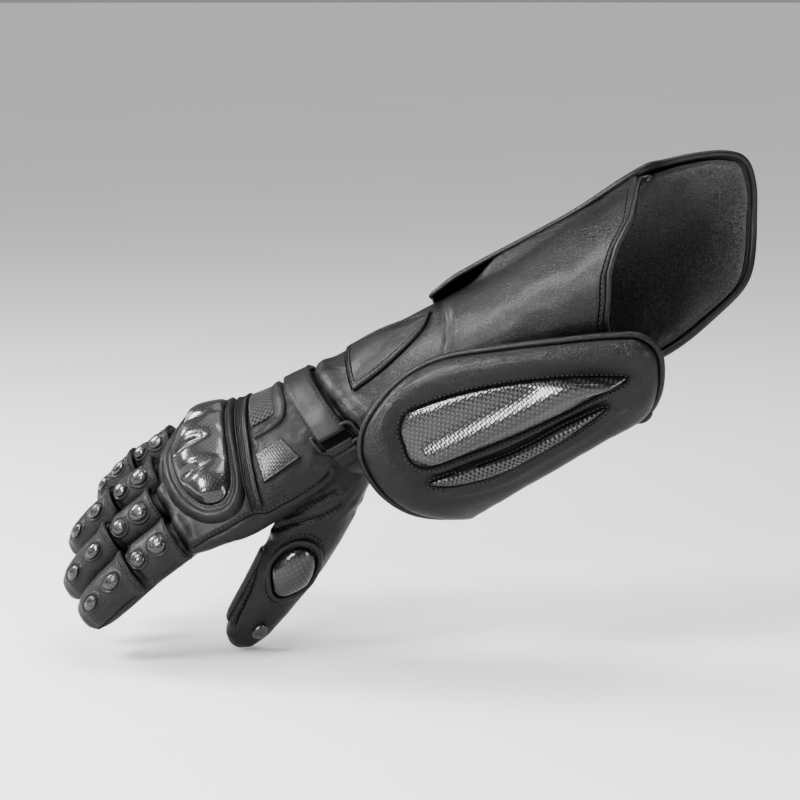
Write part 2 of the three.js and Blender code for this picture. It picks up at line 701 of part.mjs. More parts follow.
// Shell, its fleece lining and the piping round its edge.
function shellPoint(u, v, height, inset) {
  const deg = SHELL_ROWS[0].deg + (SHELL_ROWS.at(-1).deg - SHELL_ROWS[0].deg) * u;
  const from = between(SHELL_ROWS, "deg", deg, "start") + inset;
  const to = between(SHELL_ROWS, "deg", deg, "end") - inset;
  const x = from + (to - from) * v;
  return sleevePoint(x, deg, height + shellFlare(x, deg));
}
const shell = plate(12, 6, (u, v, side) => {
  return shellPoint(u, v, SHELL_STAND_OFF + (side === 0 ? SHELL_THICK : 0), 0);
});
add("outer_shell", shell, leather);
const lining = plate(9, 4, (u, v, side) => {
  const deg = LINING_ROWS.from + (LINING_ROWS.to - LINING_ROWS.from) * u;
  const end = between(SHELL_ROWS, "deg", deg, "end") - LINING_ROWS.inset;
  const x = LINING_ROWS.start + (end - LINING_ROWS.start) * v;
  return sleevePoint(x, deg, side === 0 ? SHELL_STAND_OFF - GAP - 0.65 : -LEATHER);
});
add("fleece_lining", lining, fleece);
const shellEdge = [];
const edgeHeight = SHELL_STAND_OFF + SHELL_THICK / 2;
const edgeAt = (x, deg) => {
  const at = sleevePoint(x, deg, edgeHeight + shellFlare(x, deg));
  shellEdge.push({ at, up: vec(0, at.y, at.z).normalize() });
};
for (let i = 0; i <= 5; i++) {
  edgeAt(SHELL_ROWS[0].start + 28 * i, SHELL_ROWS[0].deg + 4);
}
for (let i = 0; i < 16; i++) {
  const deg = SHELL_ROWS[0].deg + 2 + ((SHELL_ROWS.at(-1).deg - SHELL_ROWS[0].deg) * i) / 15;
  edgeAt(between(SHELL_ROWS, "deg", deg, "end") + PIPING_RADIUS + GAP + 0.4, deg);
}
add("shell_piping", cord(shellEdge, PIPING_RADIUS, 6, false).subtract(shell).subtract(grownSleeve), leather);

// Piping along the sleeve's own mouth.
const mouthEdge = [];
for (let deg = 50; deg <= 190; deg += 14) {
  const x = between(SLEEVE_MOUTH, "deg", deg, "x") + MOUTH_PIPING + GAP;
  const at = sleevePoint(x, deg, -LEATHER / 2);
  mouthEdge.push({ at, up: vec(0, at.y, at.z).normalize() });
}
add("sleeve_piping", cord(mouthEdge, MOUTH_PIPING, 6, false).subtract(loft(sleeveRings(0, 0.2))), leather);

// Padded side guard with its two hard inserts and its piping.
const guardOutline = grown(smooth(GUARD_OUTLINE, 32), -3);
const guardTop = (extra) => (share) => GUARD_THICK * Math.min(1, 0.35 + share * 4.5) + 1 + extra;
const guardShares = [0, 0.07, 0.16, 0.6];
const guardForm = (extra) =>
  pillow(guardOutline, guardShares, guardPoint, guardTop(extra), () => -GUARD_THICK);
add("side_guard", guardForm(0).subtract(grownSleeve), softLeather);
for (const insert of GUARD_INSERTS) {
  const outline = smooth(insert.outline, 18);
  const top = (share) => GUARD_THICK + 1 + insert.tall * Math.sqrt(1 - Math.pow(1 - share, 2.4)) + 0.6;
  const form = pillow(outline, [0, 0.3, 0.7], guardPoint, top, () => GUARD_THICK + 1);
  add(insert.name, form.subtract(guardForm(GAP)), carbon);
}
const rim = grown(smooth(GUARD_OUTLINE, 32), PIPING_RADIUS + GAP - 3);
const rimPath = rim.map(([x, m]) => ({ at: guardPoint(x, m, 0.6), up: guardUp(x, m) }));
add("guard_piping", cord(rimPath, PIPING_RADIUS, 6, true).subtract(grownSleeve), leather);

// Knuckle guard and the padded ring round it.
function knuckleRise(x, y) {
  let rise = 0;
  for (const k of KNUCKLES) {
    const along = (x - k.x) / (x > k.x ? 15 : 8);
    const across = (y - k.y) / k.wide;
    rise = Math.max(rise, k.tall * Math.exp(-along * along - Math.pow(across, 4)));
  }
  return rise;
}
const knuckleBase = smooth(KNUCKLE_OUTLINE, 28);
const knuckleTop = (share, x, y) => {
  const dome = KNUCKLE_DOME * Math.sqrt(1 - Math.pow(1 - share, 2.4));
  return 2.2 + dome + (share > 0 ? knuckleRise(x, y) : 0);
};
const knuckleForm = pillow(
  grown(knuckleBase, -1.5), [0, 0.1, 0.3, 0.5, 0.75], backPoint, knuckleTop,
  (share) => (share < 0.05 ? 0.5 : 1.8),
);
add("knuckle_guard", knuckleForm, carbon);
const ringLines = KNUCKLE_RING.map(([out, height]) => {
  return grown(knuckleBase, out).map(([x, y]) => backPoint(x, y, height));
});
const ringForm = loft(knuckleBase.map((p, k) => ringLines.map((line) => line[k])), true);
add("knuckle_surround", ringForm.subtract(grownHand), softLeather);

// Ribbed band, windows and the ridge between them.
const ribs = BAND.ribs.length - 1;
const band = plate(12, ribs, (u, v, side) => {
  const deg = 14 + 144 * u;
  const y = 46 * Math.cos(rad(deg));
  const x = BAND.x - BAND.slant * (42 - y) + BAND.wide * v;
  return handPoint(x, deg, side === 0 ? BAND.ribs[Math.round(v * ribs)] + GAP : 0.5);
});
add("knuckle_band", band, softLeather);
for (const w of WINDOWS) {
  const form = plate(5, 3, (u, v, side) => {
    const deg = w.from + (w.to - w.from) * u;
    const front = w.front[0] + (w.front[1] - w.front[0]) * u;
    const rear = w.rear[0] + (w.rear[1] - w.rear[0]) * u;
    return handPoint(front + (rear - front) * v, deg, side === 0 ? 0.5 + w.thick : 0.5);
  });
  add(w.name, form, w.name === "mesh_window" ? knit : softLeather);
}
const ridgeLine = new THREE.CatmullRomCurve3(RIDGE_LINE.map(([x, y]) => vec(x, y, 0)));
const ridge = plate(10, 2, (u, v, side) => {
  const p = ridgeLine.getPointAt(u);
  const d = ridgeLine.getTangentAt(u);
  const off = (v * 2 - 1) * RIDGE.half;
  const top = v === 0.5 ? RIDGE.tall : 1.2;
  return backPoint(p.x - d.y * off, p.y + d.x * off, side === 0 ? top : 0.55);
});
add("window_ridge", ridge, softLeather);

// Strap round the wrist, with its keeper and the stitched tab at its end.
const strapLine = (deg) => STRAP.x - STRAP.swing * Math.cos(rad(deg - STRAP.deg));
const handUnturn = handTurn.clone().invert();
// How far the hand's surface rises above the sleeve's at a place near the wrist.
function handRise(x, deg) {
  let height = 0;
  while (x < WRIST_SEAM && height < 12) {
    const p = sleevePoint(x, deg, height).applyMatrix4(handUnturn);
    const row = (field) => between(HAND_SECTIONS, "x", p.x, field);
    const across = Math.abs(p.y - row("y")) / row("wide");
    const high = (p.z - row("z")) / row("deep");
    if (Math.pow(across, 2 / 0.9) + high * high >= 1) {
      return height;
    }
    height += 0.2;
  }
  return height;
}
function strapTop(x, deg) {
  const middle = strapLine(deg);
  const share = (x - middle + STRAP.half) / (2 * STRAP.half);
  const front = handRise(middle - STRAP.half, deg);
  const rear = handRise(middle + STRAP.half, deg);
  return STRAP.tall + front + (rear - front) * share;
}
const strapRings = [];
for (let deg = 0; deg < 360; deg += 15) {
  const front = strapLine(deg) - STRAP.half;
  const rear = strapLine(deg) + STRAP.half;
  strapRings.push([
    sleevePoint(front, deg, strapTop(front, deg) - 6), sleevePoint(rear, deg, strapTop(rear, deg) - 6),
    sleevePoint(rear, deg, strapTop(rear, deg)), sleevePoint(front, deg, strapTop(front, deg)),
  ]);
}
const strapForm = loft(strapRings, true);
add("wrist_strap", strapForm.subtract(grownHand).subtract(grownSleeve), leather);
const strapSeat = (x, deg, height) => sleevePoint(x, deg, strapTop(x, deg) + GAP + height);
const keeperPath = [];
for (const [a, b] of [[0, 0], [0.5, 0], [1, 0], [1, 0.5], [1, 1], [0.5, 1], [0, 1], [0, 0.5]]) {
  const deg = KEEPER.from + (KEEPER.to - KEEPER.from) * b;
  const x = KEEPER.front + (KEEPER.rear - KEEPER.front) * a + strapLine(deg) + 2;
  const at = strapSeat(x, deg, KEEPER.radius);
  keeperPath.push({ at, up: vec(0, at.y, at.z).normalize() });
}
add("strap_keeper", cord(keeperPath, KEEPER.radius, 6, true), leather);
const tab = plate(3, 2, (u, v, side) => {
  const deg = TAB.from + (TAB.to - TAB.from) * u;
  const x = strapLine(deg) + TAB.front + (TAB.rear - TAB.front) * v;
  return strapSeat(x, deg, side === 0 ? TAB.thick : 0.1);
});
add("strap_tab", tab, leather);

// Leaf-shaped patch near the wrist end of the sleeve.
const leaf = plate(6, LEAF.length - 1, (u, v, side) => {
  const row = LEAF[Math.round(v * (LEAF.length - 1))];
  return sleevePoint(row.x, row.low + (row.high - row.low) * u, side === 0 ? 0.5 + LEAF_THICK : 0.5);
});
add("leaf_patch", leaf, leather);

// The glove as it hangs, with the middle of its mouth at the origin.
glove.name = "glove_frame";
glove.position.set(-MOUTH_CENTRE[0], -MOUTH_CENTRE[1], -MOUTH_CENTRE[2]);
const rolled = new THREE.Group();
rolled.rotation.x = rad(FOREARM_ROLL_DEG);
rolled.add(glove);
const pitched = new THREE.Group();
pitched.rotation.y = rad(-FOREARM_PITCH_DEG);
pitched.add(rolled);
const part = new THREE.Group();
part.add(pitched);

export default part;
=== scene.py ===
"""The looks of an armoured leather fencing glove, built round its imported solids.

Lengths in the tables are millimetres in the glove's own frame: X runs from the wrist up
the forearm, Y points to the little finger side, Z points out of the back of the hand.
"""

import math

import bpy
import numpy as np
from mathutils import Matrix, Vector, kdtree, noise


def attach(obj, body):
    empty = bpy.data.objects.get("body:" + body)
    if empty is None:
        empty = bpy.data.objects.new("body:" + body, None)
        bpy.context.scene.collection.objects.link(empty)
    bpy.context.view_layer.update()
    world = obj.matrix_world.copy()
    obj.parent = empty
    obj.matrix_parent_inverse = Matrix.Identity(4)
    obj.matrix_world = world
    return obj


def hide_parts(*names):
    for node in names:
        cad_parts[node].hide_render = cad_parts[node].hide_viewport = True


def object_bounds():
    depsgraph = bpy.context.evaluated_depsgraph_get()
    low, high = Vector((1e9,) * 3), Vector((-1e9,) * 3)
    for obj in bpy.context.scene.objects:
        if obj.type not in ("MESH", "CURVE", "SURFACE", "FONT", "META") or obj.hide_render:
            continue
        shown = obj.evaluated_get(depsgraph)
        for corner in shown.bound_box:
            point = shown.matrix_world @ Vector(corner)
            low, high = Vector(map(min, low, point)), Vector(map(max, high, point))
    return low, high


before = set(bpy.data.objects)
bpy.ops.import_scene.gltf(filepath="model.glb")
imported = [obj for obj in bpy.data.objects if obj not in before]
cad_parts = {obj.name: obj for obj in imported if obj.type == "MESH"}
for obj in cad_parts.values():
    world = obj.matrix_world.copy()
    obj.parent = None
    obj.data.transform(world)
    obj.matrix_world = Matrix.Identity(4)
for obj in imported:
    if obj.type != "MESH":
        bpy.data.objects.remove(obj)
CAD_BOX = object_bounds()

# The glove's own tables
FOREARM_PITCH = 27
FOREARM_ROLL = 46.5
MOUTH_CENTRE = np.array([226.0, 0, 0])
LEATHER = 2.4
GAP = 0.35

HAND_ROWS = {
    "x": [16, -8, -32, -56, -80, -98, -113],
    "y": [0, -0.5, -3, -4.5, -5, -4, -3],
    "z": [0, 0, 0.5, 1.5, 3, 3.5, 2],
    "wide": [36, 36, 40.5, 45.5, 49.5, 49, 47],
    "deep": [29, 27.5, 25.5, 23, 21, 18.5, 15],
}
FINGERS = {
    "index": dict(at=(-94, -35, 6.5), spread=5, roll=24, pitch=(12, 17, 24),
                   bones=(45, 27, 26), wide=12.6, deep=12.4),
    "middle": dict(at=(-97, -9.5, 9.5), spread=3, roll=18, pitch=(14, 21, 28),
                   bones=(48, 30, 24), wide=11.8, deep=12),
    "ring": dict(at=(-92, 14.5, 6.5), spread=-2, roll=9, pitch=(14, 21, 28),
                   bones=(45, 29, 25), wide=11.1, deep=11.6),
    "little": dict(at=(-82, 36.5, 1), spread=-7.5, roll=-2, pitch=(15, 21, 28),
                   bones=(38, 23, 25), wide=10.3, deep=10.8),
}
FINGER_ROWS = {
    "along": [0, 0.2, 0.5, 0.72, 0.87, 0.95, 1],
    "wide": [0.85, 1, 1, 0.98, 0.9, 0.72, 0.38],
    "deep": [0.85, 1, 1, 0.94, 0.8, 0.6, 0.32],
}
CAP_LOW, CAP_HIGH = 14, 166
CAP_HALF = (CAP_HIGH - CAP_LOW) / 2
CAPS = {
    "lower": dict(front=0.53, rear=0.21, thick=2.4, lift=2.3, reach=7.5),
    "upper": dict(front=0.975, rear=0.522, thick=2.2, lift=2.9, reach=9.5),
}
STUDS = {
    "a": ("lower", 0.315, 6.8, 6.6, 3.2),
    "b": ("lower", 0.455, 5.2, 5.6, 2.8),
    "c": ("upper", 0.66, 6.4, 4.9, 3.0),
    "d": ("upper", 0.84, 6.2, 4.6, 2.6),
}
THUMB_ROWS = np.array([
    (-8, -21, -6, 20, 18), (-38, -38.5, -22, 20.5, 17.5), (-67, -52.5, -35.5, 19, 16),
    (-87.5, -61.5, -43.5, 16.5, 14.5), (-107, -70, -50, 14, 12), (-117.5, -75, -53.5, 9.5, 7.5),
    (-121.5, -77, -55, 4, 3),
])
THUMB_BACK = np.array([0.3, -0.85, 0.3])
SLEEVE_ROWS = {
    "x": [-16, 16, 45, 80, 120, 170, 214, 275],
    "wide": [36, 36.5, 37.5, 37, 38.5, 43.5, 49, 52],
    "deep": [29, 31, 34.5, 36, 38.5, 43.5, 48.5, 51],
}
MOUTH_ROWS = {
    "deg": [-150, 30, 45, 75, 90, 105, 120, 135, 150, 180, 195, 210],
    "x": [124, 124, 215, 210, 205, 191, 181, 175, 168, 160, 155, 124],
}
SHELL_SIDE, SHELL_FAR = 44, -140
LINING_SIDE, LINING_FAR, LINING_START = 27, -136, 129
SHELL_ROWS = {
    "deg": [44, 28, 14, 0, -12, -30, -48, -66, -85, -103, -121, -140],
    "start": [76, 74, 72, 72, 66, 60, 58, 58, 62, 70, 82, 98],
    "end": [219, 224, 241, 259, 267, 264, 256, 248, 237, 209, 188, 170],
}
GUARD_OUTLINE = [
    (8, 35), (9.5, 23.5), (17, 11.5), (33, 1), (52, -5.5), (75, -6), (110, 3), (143, 13.5), (169, 22.5),
    (184, 30), (189, 41), (183.5, 55), (173, 66.5), (163, 71.5), (134, 74), (106, 76.5), (78, 78.5),
    (50, 80.5), (38, 81), (27, 75.5), (16, 64.5), (9.5, 49.5),
]
INSERTS = {
    "guard_insert_upper": dict(
        tall=4.6,
        outline=[(45, 14.5), (38.5, 20), (36, 30), (35, 38), (39, 44.5), (50, 46.5), (73, 48.5), (97, 49.5),
                 (125, 49.5), (150, 48.5), (166, 47.5), (152, 40), (133, 32), (101, 22), (78, 17), (58, 14.5)],
        crest=[(44, 42), (66, 41.5), (87, 41), (112, 40.8), (131, 40), (150, 43), (166, 47.5)],
        above=7.0, below=5.0, edge=0.16, look="carbon"),
    "guard_insert_lower": dict(
        tall=2.6,
        outline=[(37, 54), (44, 59), (58, 63), (74, 65), (107, 63), (134, 60), (147, 57), (124, 56.5), (92, 58),
                 (67, 56.5), (52, 54.5)],
        crest=[(42, 56.5), (74, 60.5), (107, 60), (140, 57.5)],
        above=4.0, below=4.0, edge=0.35, look="net"),
}
KNUCKLE_OUTLINE = [
    (-61, 35), (-63, 22), (-66, 2), (-69, -18), (-73, -33), (-80, -40), (-91, -38), (-99, -27), (-103, -10),
    (-102, 6), (-97, 20), (-89, 31), (-78, 38), (-68, 39),
]
KNUCKLES = [(-82, 28, 3, 6.4), (-88, 11, 3.8, 7), (-92, -8, 4.2, 7.4), (-90, -27, 4.4, 8.4)]
RIDGE_LINE = [(-29.5, 30), (-29.2, 18), (-29.2, 8), (-31, -2), (-34.5, -7.5), (-42, -9.5), (-52, -10.5)]
LEAF_ROWS = {
    "x": [18, 37, 53, 65, 73.5, 76],
    "low": [41, 49, 57, 62.5, 67, 68.5],
    "high": [108, 104.5, 98, 90.5, 80, 70],
}


# Numbers and curves
def rotation(axis, deg):
    c, s = math.cos(math.radians(deg)), math.sin(math.radians(deg))
    rows = {"x": [[1, 0, 0], [0, c, -s], [0, s, c]], "y": [[c, 0, s], [0, 1, 0], [-s, 0, c]],
            "z": [[c, -s, 0], [s, c, 0], [0, 0, 1]]}
    return np.array(rows[axis])


HAND_TURN = rotation("z", 7) @ rotation("y", 9.3) @ rotation("x", -4.9)
GLOVE_TURN = rotation("y", -FOREARM_PITCH) @ rotation("x", FOREARM_ROLL)


def to_world(p):
    """Glove frame, millimetres, to the shared frame in metres."""
    return (np.asarray(p, float) - MOUTH_CENTRE) @ GLOVE_TURN.T / 1000


def from_world(p):
    return np.asarray(p, float) * 1000 @ GLOVE_TURN + MOUTH_CENTRE


def ease(t, low=0.0, high=1.0):
    t = np.clip((t - low) / (high - low), 0, 1)
    return t * t * (3 - 2 * t)


def hump(x, middle, wide):
    """A soft bell, 1 at its middle."""
    return np.exp(-((x - middle) / wide) ** 2)


def rounded(share):
    """A quarter round, from 0 at an edge to 1 where its curve ends."""
    return np.sqrt(share * (2 - share))


def circle(count):
    return np.linspace(0, 2 * math.pi, count, endpoint=False)


def ramps(nu, nv):
    """Two ramps from 0 to 1, one down and one across."""
    return np.linspace(0, 1, nu)[:, None], np.linspace(0, 1, nv)[None]


def unit(v):
    return v / np.linalg.norm(v, axis=-1, keepdims=True)


def read_rows(at, keys, rows):
    """Rows of points read at places between their keys."""
    return np.stack([np.interp(at, keys, rows[:, k]) for k in range(rows.shape[1])], -1)


def running_length(line):
    return np.concatenate([[0], np.cumsum(np.linalg.norm(np.diff(line, axis=0), axis=1))])


def table(keys, values):
    """A smooth curve through a table that never overshoots its rows."""
    order = np.argsort(keys)
    k, v = np.array(keys, float)[order], np.array(values, float)[order]
    h = np.diff(k)
    slope = np.diff(v) / h
    m = np.zeros(len(k))
    m[0], m[-1] = slope[0], slope[-1]
    a, b = slope[:-1], slope[1:]
    both = a * b > 0
    m[1:-1][both] = 2 * a[both] * b[both] / (a[both] + b[both])

    def at(x):
        x = np.clip(np.asarray(x, float), k[0], k[-1])
        i = np.clip(np.searchsorted(k, x) - 1, 0, len(k) - 2)
        t = (x - k[i]) / h[i]
        t2, t3 = t * t, t * t * t
        return ((2 * t3 - 3 * t2 + 1) * v[i] + (t3 - 2 * t2 + t) * h[i] * m[i]
                + (3 * t2 - 2 * t3) * v[i + 1] + (t3 - t2) * h[i] * m[i + 1])

    return at


def spline(points, count, closed=False):
    """A smooth line through points, evenly spaced."""
    p = np.array(points, float)
    n = len(p)
    rows = []
    spans = n if closed else n - 1
    for i in range(spans):
        if closed:
            q = [p[(i + k) % n] for k in (-1, 0, 1, 2)]
        else:
            before = p[i - 1] if i > 0 else 2 * p[0] - p[1]
            after = p[i + 2] if i + 2 < n else 2 * p[-1] - p[-2]
            q = [before, p[i], p[i + 1], after]
        t = np.cumsum([0] + [max(np.linalg.norm(q[k + 1] - q[k]) ** 0.5, 1e-6) for k in range(3)])
        s = np.linspace(t[1], t[2], 25)[:-1, None]
        a1 = (t[1] - s) / (t[1] - t[0]) * q[0] + (s - t[0]) / (t[1] - t[0]) * q[1]
        a2 = (t[2] - s) / (t[2] - t[1]) * q[1] + (s - t[1]) / (t[2] - t[1]) * q[2]
        a3 = (t[3] - s) / (t[3] - t[2]) * q[2] + (s - t[2]) / (t[3] - t[2]) * q[3]
        b1 = (t[2] - s) / (t[2] - t[0]) * a1 + (s - t[0]) / (t[2] - t[0]) * a2
        b2 = (t[3] - s) / (t[3] - t[1]) * a2 + (s - t[1]) / (t[3] - t[1]) * a3
        rows.append((t[2] - s) / (t[2] - t[1]) * b1 + (s - t[1]) / (t[2] - t[1]) * b2)
    line = np.vstack(rows + [p[:1] if closed else p[-1:]])
    return resample(line, count, closed)


def resample(line, count, closed=False):
    """The same line with evenly spaced points. A closed line doesn't repeat its first point."""
    length = running_length(line)
    at = np.linspace(0, length[-1], count + 1)[:-1] if closed else np.linspace(0, length[-1], count)
    return read_rows(at, length, line)


def line_length(line):
    return float(np.linalg.norm(np.diff(line, axis=0), axis=1).sum())


def grown(outline, by):
    """A closed outline moved outward."""
    o = np.asarray(outline, float)
    d = np.roll(o, -1, 0) - np.roll(o, 1, 0)
    n = unit(np.stack([d[:, 1], -d[:, 0]], 1))
    side = np.sum(n * (o - o.mean(0)), 1)
    n[side < 0] *= -1
    return o + n * by


def away(p, line, closed=False):
    """Distance from each point to a line, in the plane or in space."""
    line = np.asarray(line, float)
    if closed:
        line = np.vstack([line, line[:1]])
    a, b = line[:-1], line[1:]
    d = b - a
    dd = np.maximum((d * d).sum(1), 1e-12)
    flat = np.asarray(p, float).reshape(-1, line.shape[1])
    out = np.empty(len(flat))
    step = max(1, 4000000 // len(a))
    for i in range(0, len(flat), step):
        q = flat[i:i + step, None, :] - a
        t = np.clip((q * d).sum(2) / dd, 0, 1)
        out[i:i + step] = np.sqrt((((q - t[..., None] * d) ** 2).sum(2)).min(1))
    return out.reshape(np.asarray(p).shape[:-1])


def within(p, line):
    """Which points lie inside a closed line in the plane."""
    x, y = p[..., 0], p[..., 1]
    inside = np.zeros(x.shape, bool)
    for (ax, ay), (bx, by) in zip(line, np.roll(line, -1, 0)):
        if ay == by:
            continue
        crosses = (ay > y) != (by > y)
        inside ^= crosses & (x < ax + (bx - ax) * (y - ay) / (by - ay))
    return inside


def waves(p, size, seed=0.0):
    """Smooth noise of about -1 to 1. size is the width of one swell, in the points' own unit."""
    rows = (np.asarray(p, float).reshape(-1, 3) / np.asarray(size, float) + seed).tolist()
    out = np.fromiter((noise.noise(r) for r in rows), float, len(rows))
    return (1.5 * out).reshape(np.asarray(p).shape[:-1])


def flat_noise(u, v, size_u, size_v, seed=0.0):
    u, v = np.broadcast_arrays(np.asarray(u, float) / size_u, np.asarray(v, float) / size_v)
    return waves(np.stack([u, v, 0 * u], -1), 1.0, seed)


# The glove's surfaces
HAND = {k: table(HAND_ROWS["x"], HAND_ROWS[k]) for k in ("y", "z", "wide", "deep")}
SLEEVE = {k: table(SLEEVE_ROWS["x"], SLEEVE_ROWS[k]) for k in ("wide", "deep")}
FINGER = {k: table(FINGER_ROWS["along"], FINGER_ROWS[k]) for k in ("wide", "deep")}
SHELL = {k: table(SHELL_ROWS["deg"], SHELL_ROWS[k]) for k in ("start", "end")}
LEAF = {k: table(LEAF_ROWS["x"], LEAF_ROWS[k]) for k in ("low", "high")}


def mouth_x(deg):
    return np.interp(np.mod(np.asarray(deg, float) + 150, 360) - 150, MOUTH_ROWS["deg"], MOUTH_ROWS["x"])


def hand_point(x, deg, height):
    x, a = np.asarray(x, float), np.radians(deg)
    c = np.cos(a)
    y = HAND["y"](x) + (HAND["wide"](x) + height) * np.abs(c) ** 0.9 * np.sign(c)
    z = HAND["z"](x) + (HAND["deep"](x) + height) * np.sin(a)
    x = x + 0.42 * np.maximum(0, y - 10) * ease(-x, 80, 112)
    return np.stack(np.broadcast_arrays(x, y, z), -1) @ HAND_TURN.T


def back_point(x, y, height):
    share = (np.asarray(y, float) - HAND["y"](x)) / HAND["wide"](x)
    c = np.minimum(np.abs(share), 0.995) ** (1 / 0.9) * np.sign(share)
    return hand_point(x, np.degrees(np.arccos(c)), height)


def spin(v, axis, deg):
    """v turned about a unit axis."""
    a = math.radians(deg)
    return (v * math.cos(a) + np.cross(axis, v) * math.sin(a)
            + axis * (v * axis).sum(-1, keepdims=True) * (1 - math.cos(a)))


def finger_line(f):
    """Middle line of a finger with its directions, finely spaced."""
    length = sum(f["bones"])
    j1, j2 = f["bones"][0] / length, (f["bones"][0] + f["bones"][1]) / length
    t = np.linspace(0, 1, 401)
    q = np.radians(f["pitch"][0] + (f["pitch"][1] - f["pitch"][0]) * ease(t, j1 - 0.12, j1 + 0.12)
                   + (f["pitch"][2] - f["pitch"][1]) * ease(t, j2 - 0.12, j2 + 0.12))
    turn = rotation("z", f["spread"])
    zero = np.zeros_like(q)
    d = np.stack([-np.cos(q), zero, -np.sin(q)], 1) @ turn.T
    up = np.stack([-np.sin(q), zero, np.cos(q)], 1) @ turn.T
    side = np.tile([0, 1.0, 0], (len(q), 1)) @ turn.T
    mid = (d[1:] + d[:-1]) / 2 * length / 400
    p = np.vstack([[f["at"]], np.array(f["at"]) + np.cumsum(mid, 0)])
    up = np.array([spin(u, a, -f["roll"]) for u, a in zip(up, d)])
    side = np.array([spin(u, a, -f["roll"]) for u, a in zip(side, d)])
    return {"p": p, "d": d, "up": up, "side": side, "t": t, "length": length}


for f in FINGERS.values():
    f["line"] = finger_line(f)


def finger_point(f, along, deg, height):
    along, deg, height = np.broadcast_arrays(*(np.asarray(v, float) for v in (along, deg, height)))
    row = f["line"]
    t = np.clip(along, 0, 1)
    read = lambda key: read_rows(t, row["t"], row[key])
    a = np.radians(deg)
    wide = f["wide"] * FINGER["wide"](t) + height
    deep = f["deep"] * FINGER["deep"](t) + height
    p = read("p") + read("side") * (wide * np.cos(a))[..., None]
    p = p + read("up") * (deep * np.sin(a))[..., None]
    p = p + read("d") * np.where(t > 0.97, height, 0)[..., None]
    return p @ HAND_TURN.T


THUMB_LINE = spline(THUMB_ROWS[:, :3], 6 * 40 + 1)
THUMB_AT = np.linspace(0, 1, len(THUMB_LINE))


def thumb_key():
    """Share of the line's length at each row of the table."""
    nearest = [np.argmin(np.linalg.norm(THUMB_LINE - row[:3], axis=1)) for row in THUMB_ROWS]
    return np.array(nearest, float) / (len(THUMB_LINE) - 1)


THUMB_KEY = thumb_key()
THUMB_WIDE = table(np.arange(7) / 6, THUMB_ROWS[:, 3])
THUMB_DEEP = table(np.arange(7) / 6, THUMB_ROWS[:, 4])
THUMB_LENGTH = line_length(THUMB_LINE)


def thumb_point(along, deg, height):
    along, deg, height = np.broadcast_arrays(*(np.asarray(v, float) for v in (along, deg, height)))
    t = np.clip(along, 0, 1)
    s = np.interp(t, np.arange(7) / 6, THUMB_KEY)
    d = read_rows(s, THUMB_AT, unit(np.gradient(THUMB_LINE, axis=0)))
    up = unit(THUMB_BACK - d * (d @ THUMB_BACK)[..., None])
    side = np.cross(d, up)
    a = np.radians(deg)
    p = read_rows(s, THUMB_AT, THUMB_LINE) + side * ((THUMB_WIDE(t) + height) * np.cos(a))[..., None]
    p = p + up * ((THUMB_DEEP(t) + height) * np.sin(a))[..., None]
    return p + d * np.where(t > 0.97, height, 0)[..., None]


def sleeve_point(x, deg, height):
    x, a = np.asarray(x, float), np.radians(deg)
    y = (SLEEVE["wide"](x) + height) * np.cos(a)
    z = (SLEEVE["deep"](x) + height) * np.sin(a)
    return np.stack(np.broadcast_arrays(x, y, z), -1)


def shell_flare(x, deg):
    return 5.5 * ease(x, 60, 98) * (1 - 0.75 * ease(x, 108, 190)) * ease(deg, -10, 40)


def shell_point(x, deg, height):
    return sleeve_point(x, deg, height + shell_flare(x, deg))


def guard_point(x, across, height):
    x, across = np.asarray(x, float), np.asarray(across, float)
    middle, back = 22 - 0.03 * x, -19 + 0.03 * x
    a = np.arcsin(np.clip((across - middle) / 62, -0.999, 0.999))
    m, t = middle + (62 + height) * np.sin(a), back + (62 + height) * np.cos(a)
    return np.stack(np.broadcast_arrays(x, -0.766 * m - 0.643 * t, -0.643 * m + 0.766 * t), -1)


def guard_flat(p):
    """Guard places unrolled to true lengths across its curved face."""
    middle = 22 - 0.03 * p[..., 0]
    return np.stack([p[..., 0], 62 * np.arcsin(np.clip((p[..., 1] - middle) / 62, -0.999, 0.999))], -1)


def guard_roll(p):
    """Unrolled guard places back to the guard's own."""
    middle = 22 - 0.03 * p[..., 0]
    return np.stack([p[..., 0], middle + 62 * np.sin(np.clip(p[..., 1] / 62, -1.52, 1.52))], -1)


def guard_grown(outline, by):
    return guard_roll(grown(resample(guard_flat(outline), len(outline), True), by))


def hand_rise(x, deg):
    """How far the hand's surface stands above the sleeve's near the wrist."""
    x, deg = np.broadcast_arrays(np.asarray(x, float), np.asarray(deg, float))
    rise, open_ = np.zeros(x.shape), x < 1
    for step in np.arange(0, 12, 0.2):
        q = sleeve_point(x, deg, step) @ HAND_TURN
        across = np.abs(q[..., 1] - HAND["y"](q[..., 0])) / HAND["wide"](q[..., 0])
        high = (q[..., 2] - HAND["z"](q[..., 0])) / HAND["deep"](q[..., 0])
        open_ = open_ & (across ** (2 / 0.9) + high * high < 1)
        rise = np.where(open_, step + 0.2, rise)
    return rise


STRAP_HALF = 9
STRAP_DEG = np.linspace(0, 360, 145)


def strap_middle(deg):
    return -7 - 11 * np.cos(np.radians(np.asarray(deg, float) - 20))


STRAP_FRONT = hand_rise(strap_middle(STRAP_DEG) - STRAP_HALF, STRAP_DEG)
STRAP_REAR = hand_rise(strap_middle(STRAP_DEG) + STRAP_HALF, STRAP_DEG)


def strap_seat(off, deg, height):
    """A point on the strap: off is how far along the arm it is from the strap's middle."""
    off, deg, height = np.broadcast_arrays(*(np.asarray(v, float) for v in (off, deg, height)))
    share = (off + STRAP_HALF) / (2 * STRAP_HALF)
    front, rear = (np.interp(np.mod(deg, 360), STRAP_DEG, rows) for rows in (STRAP_FRONT, STRAP_REAR))
    return sleeve_point(strap_middle(deg) + off, deg, height + front + (rear - front) * share)


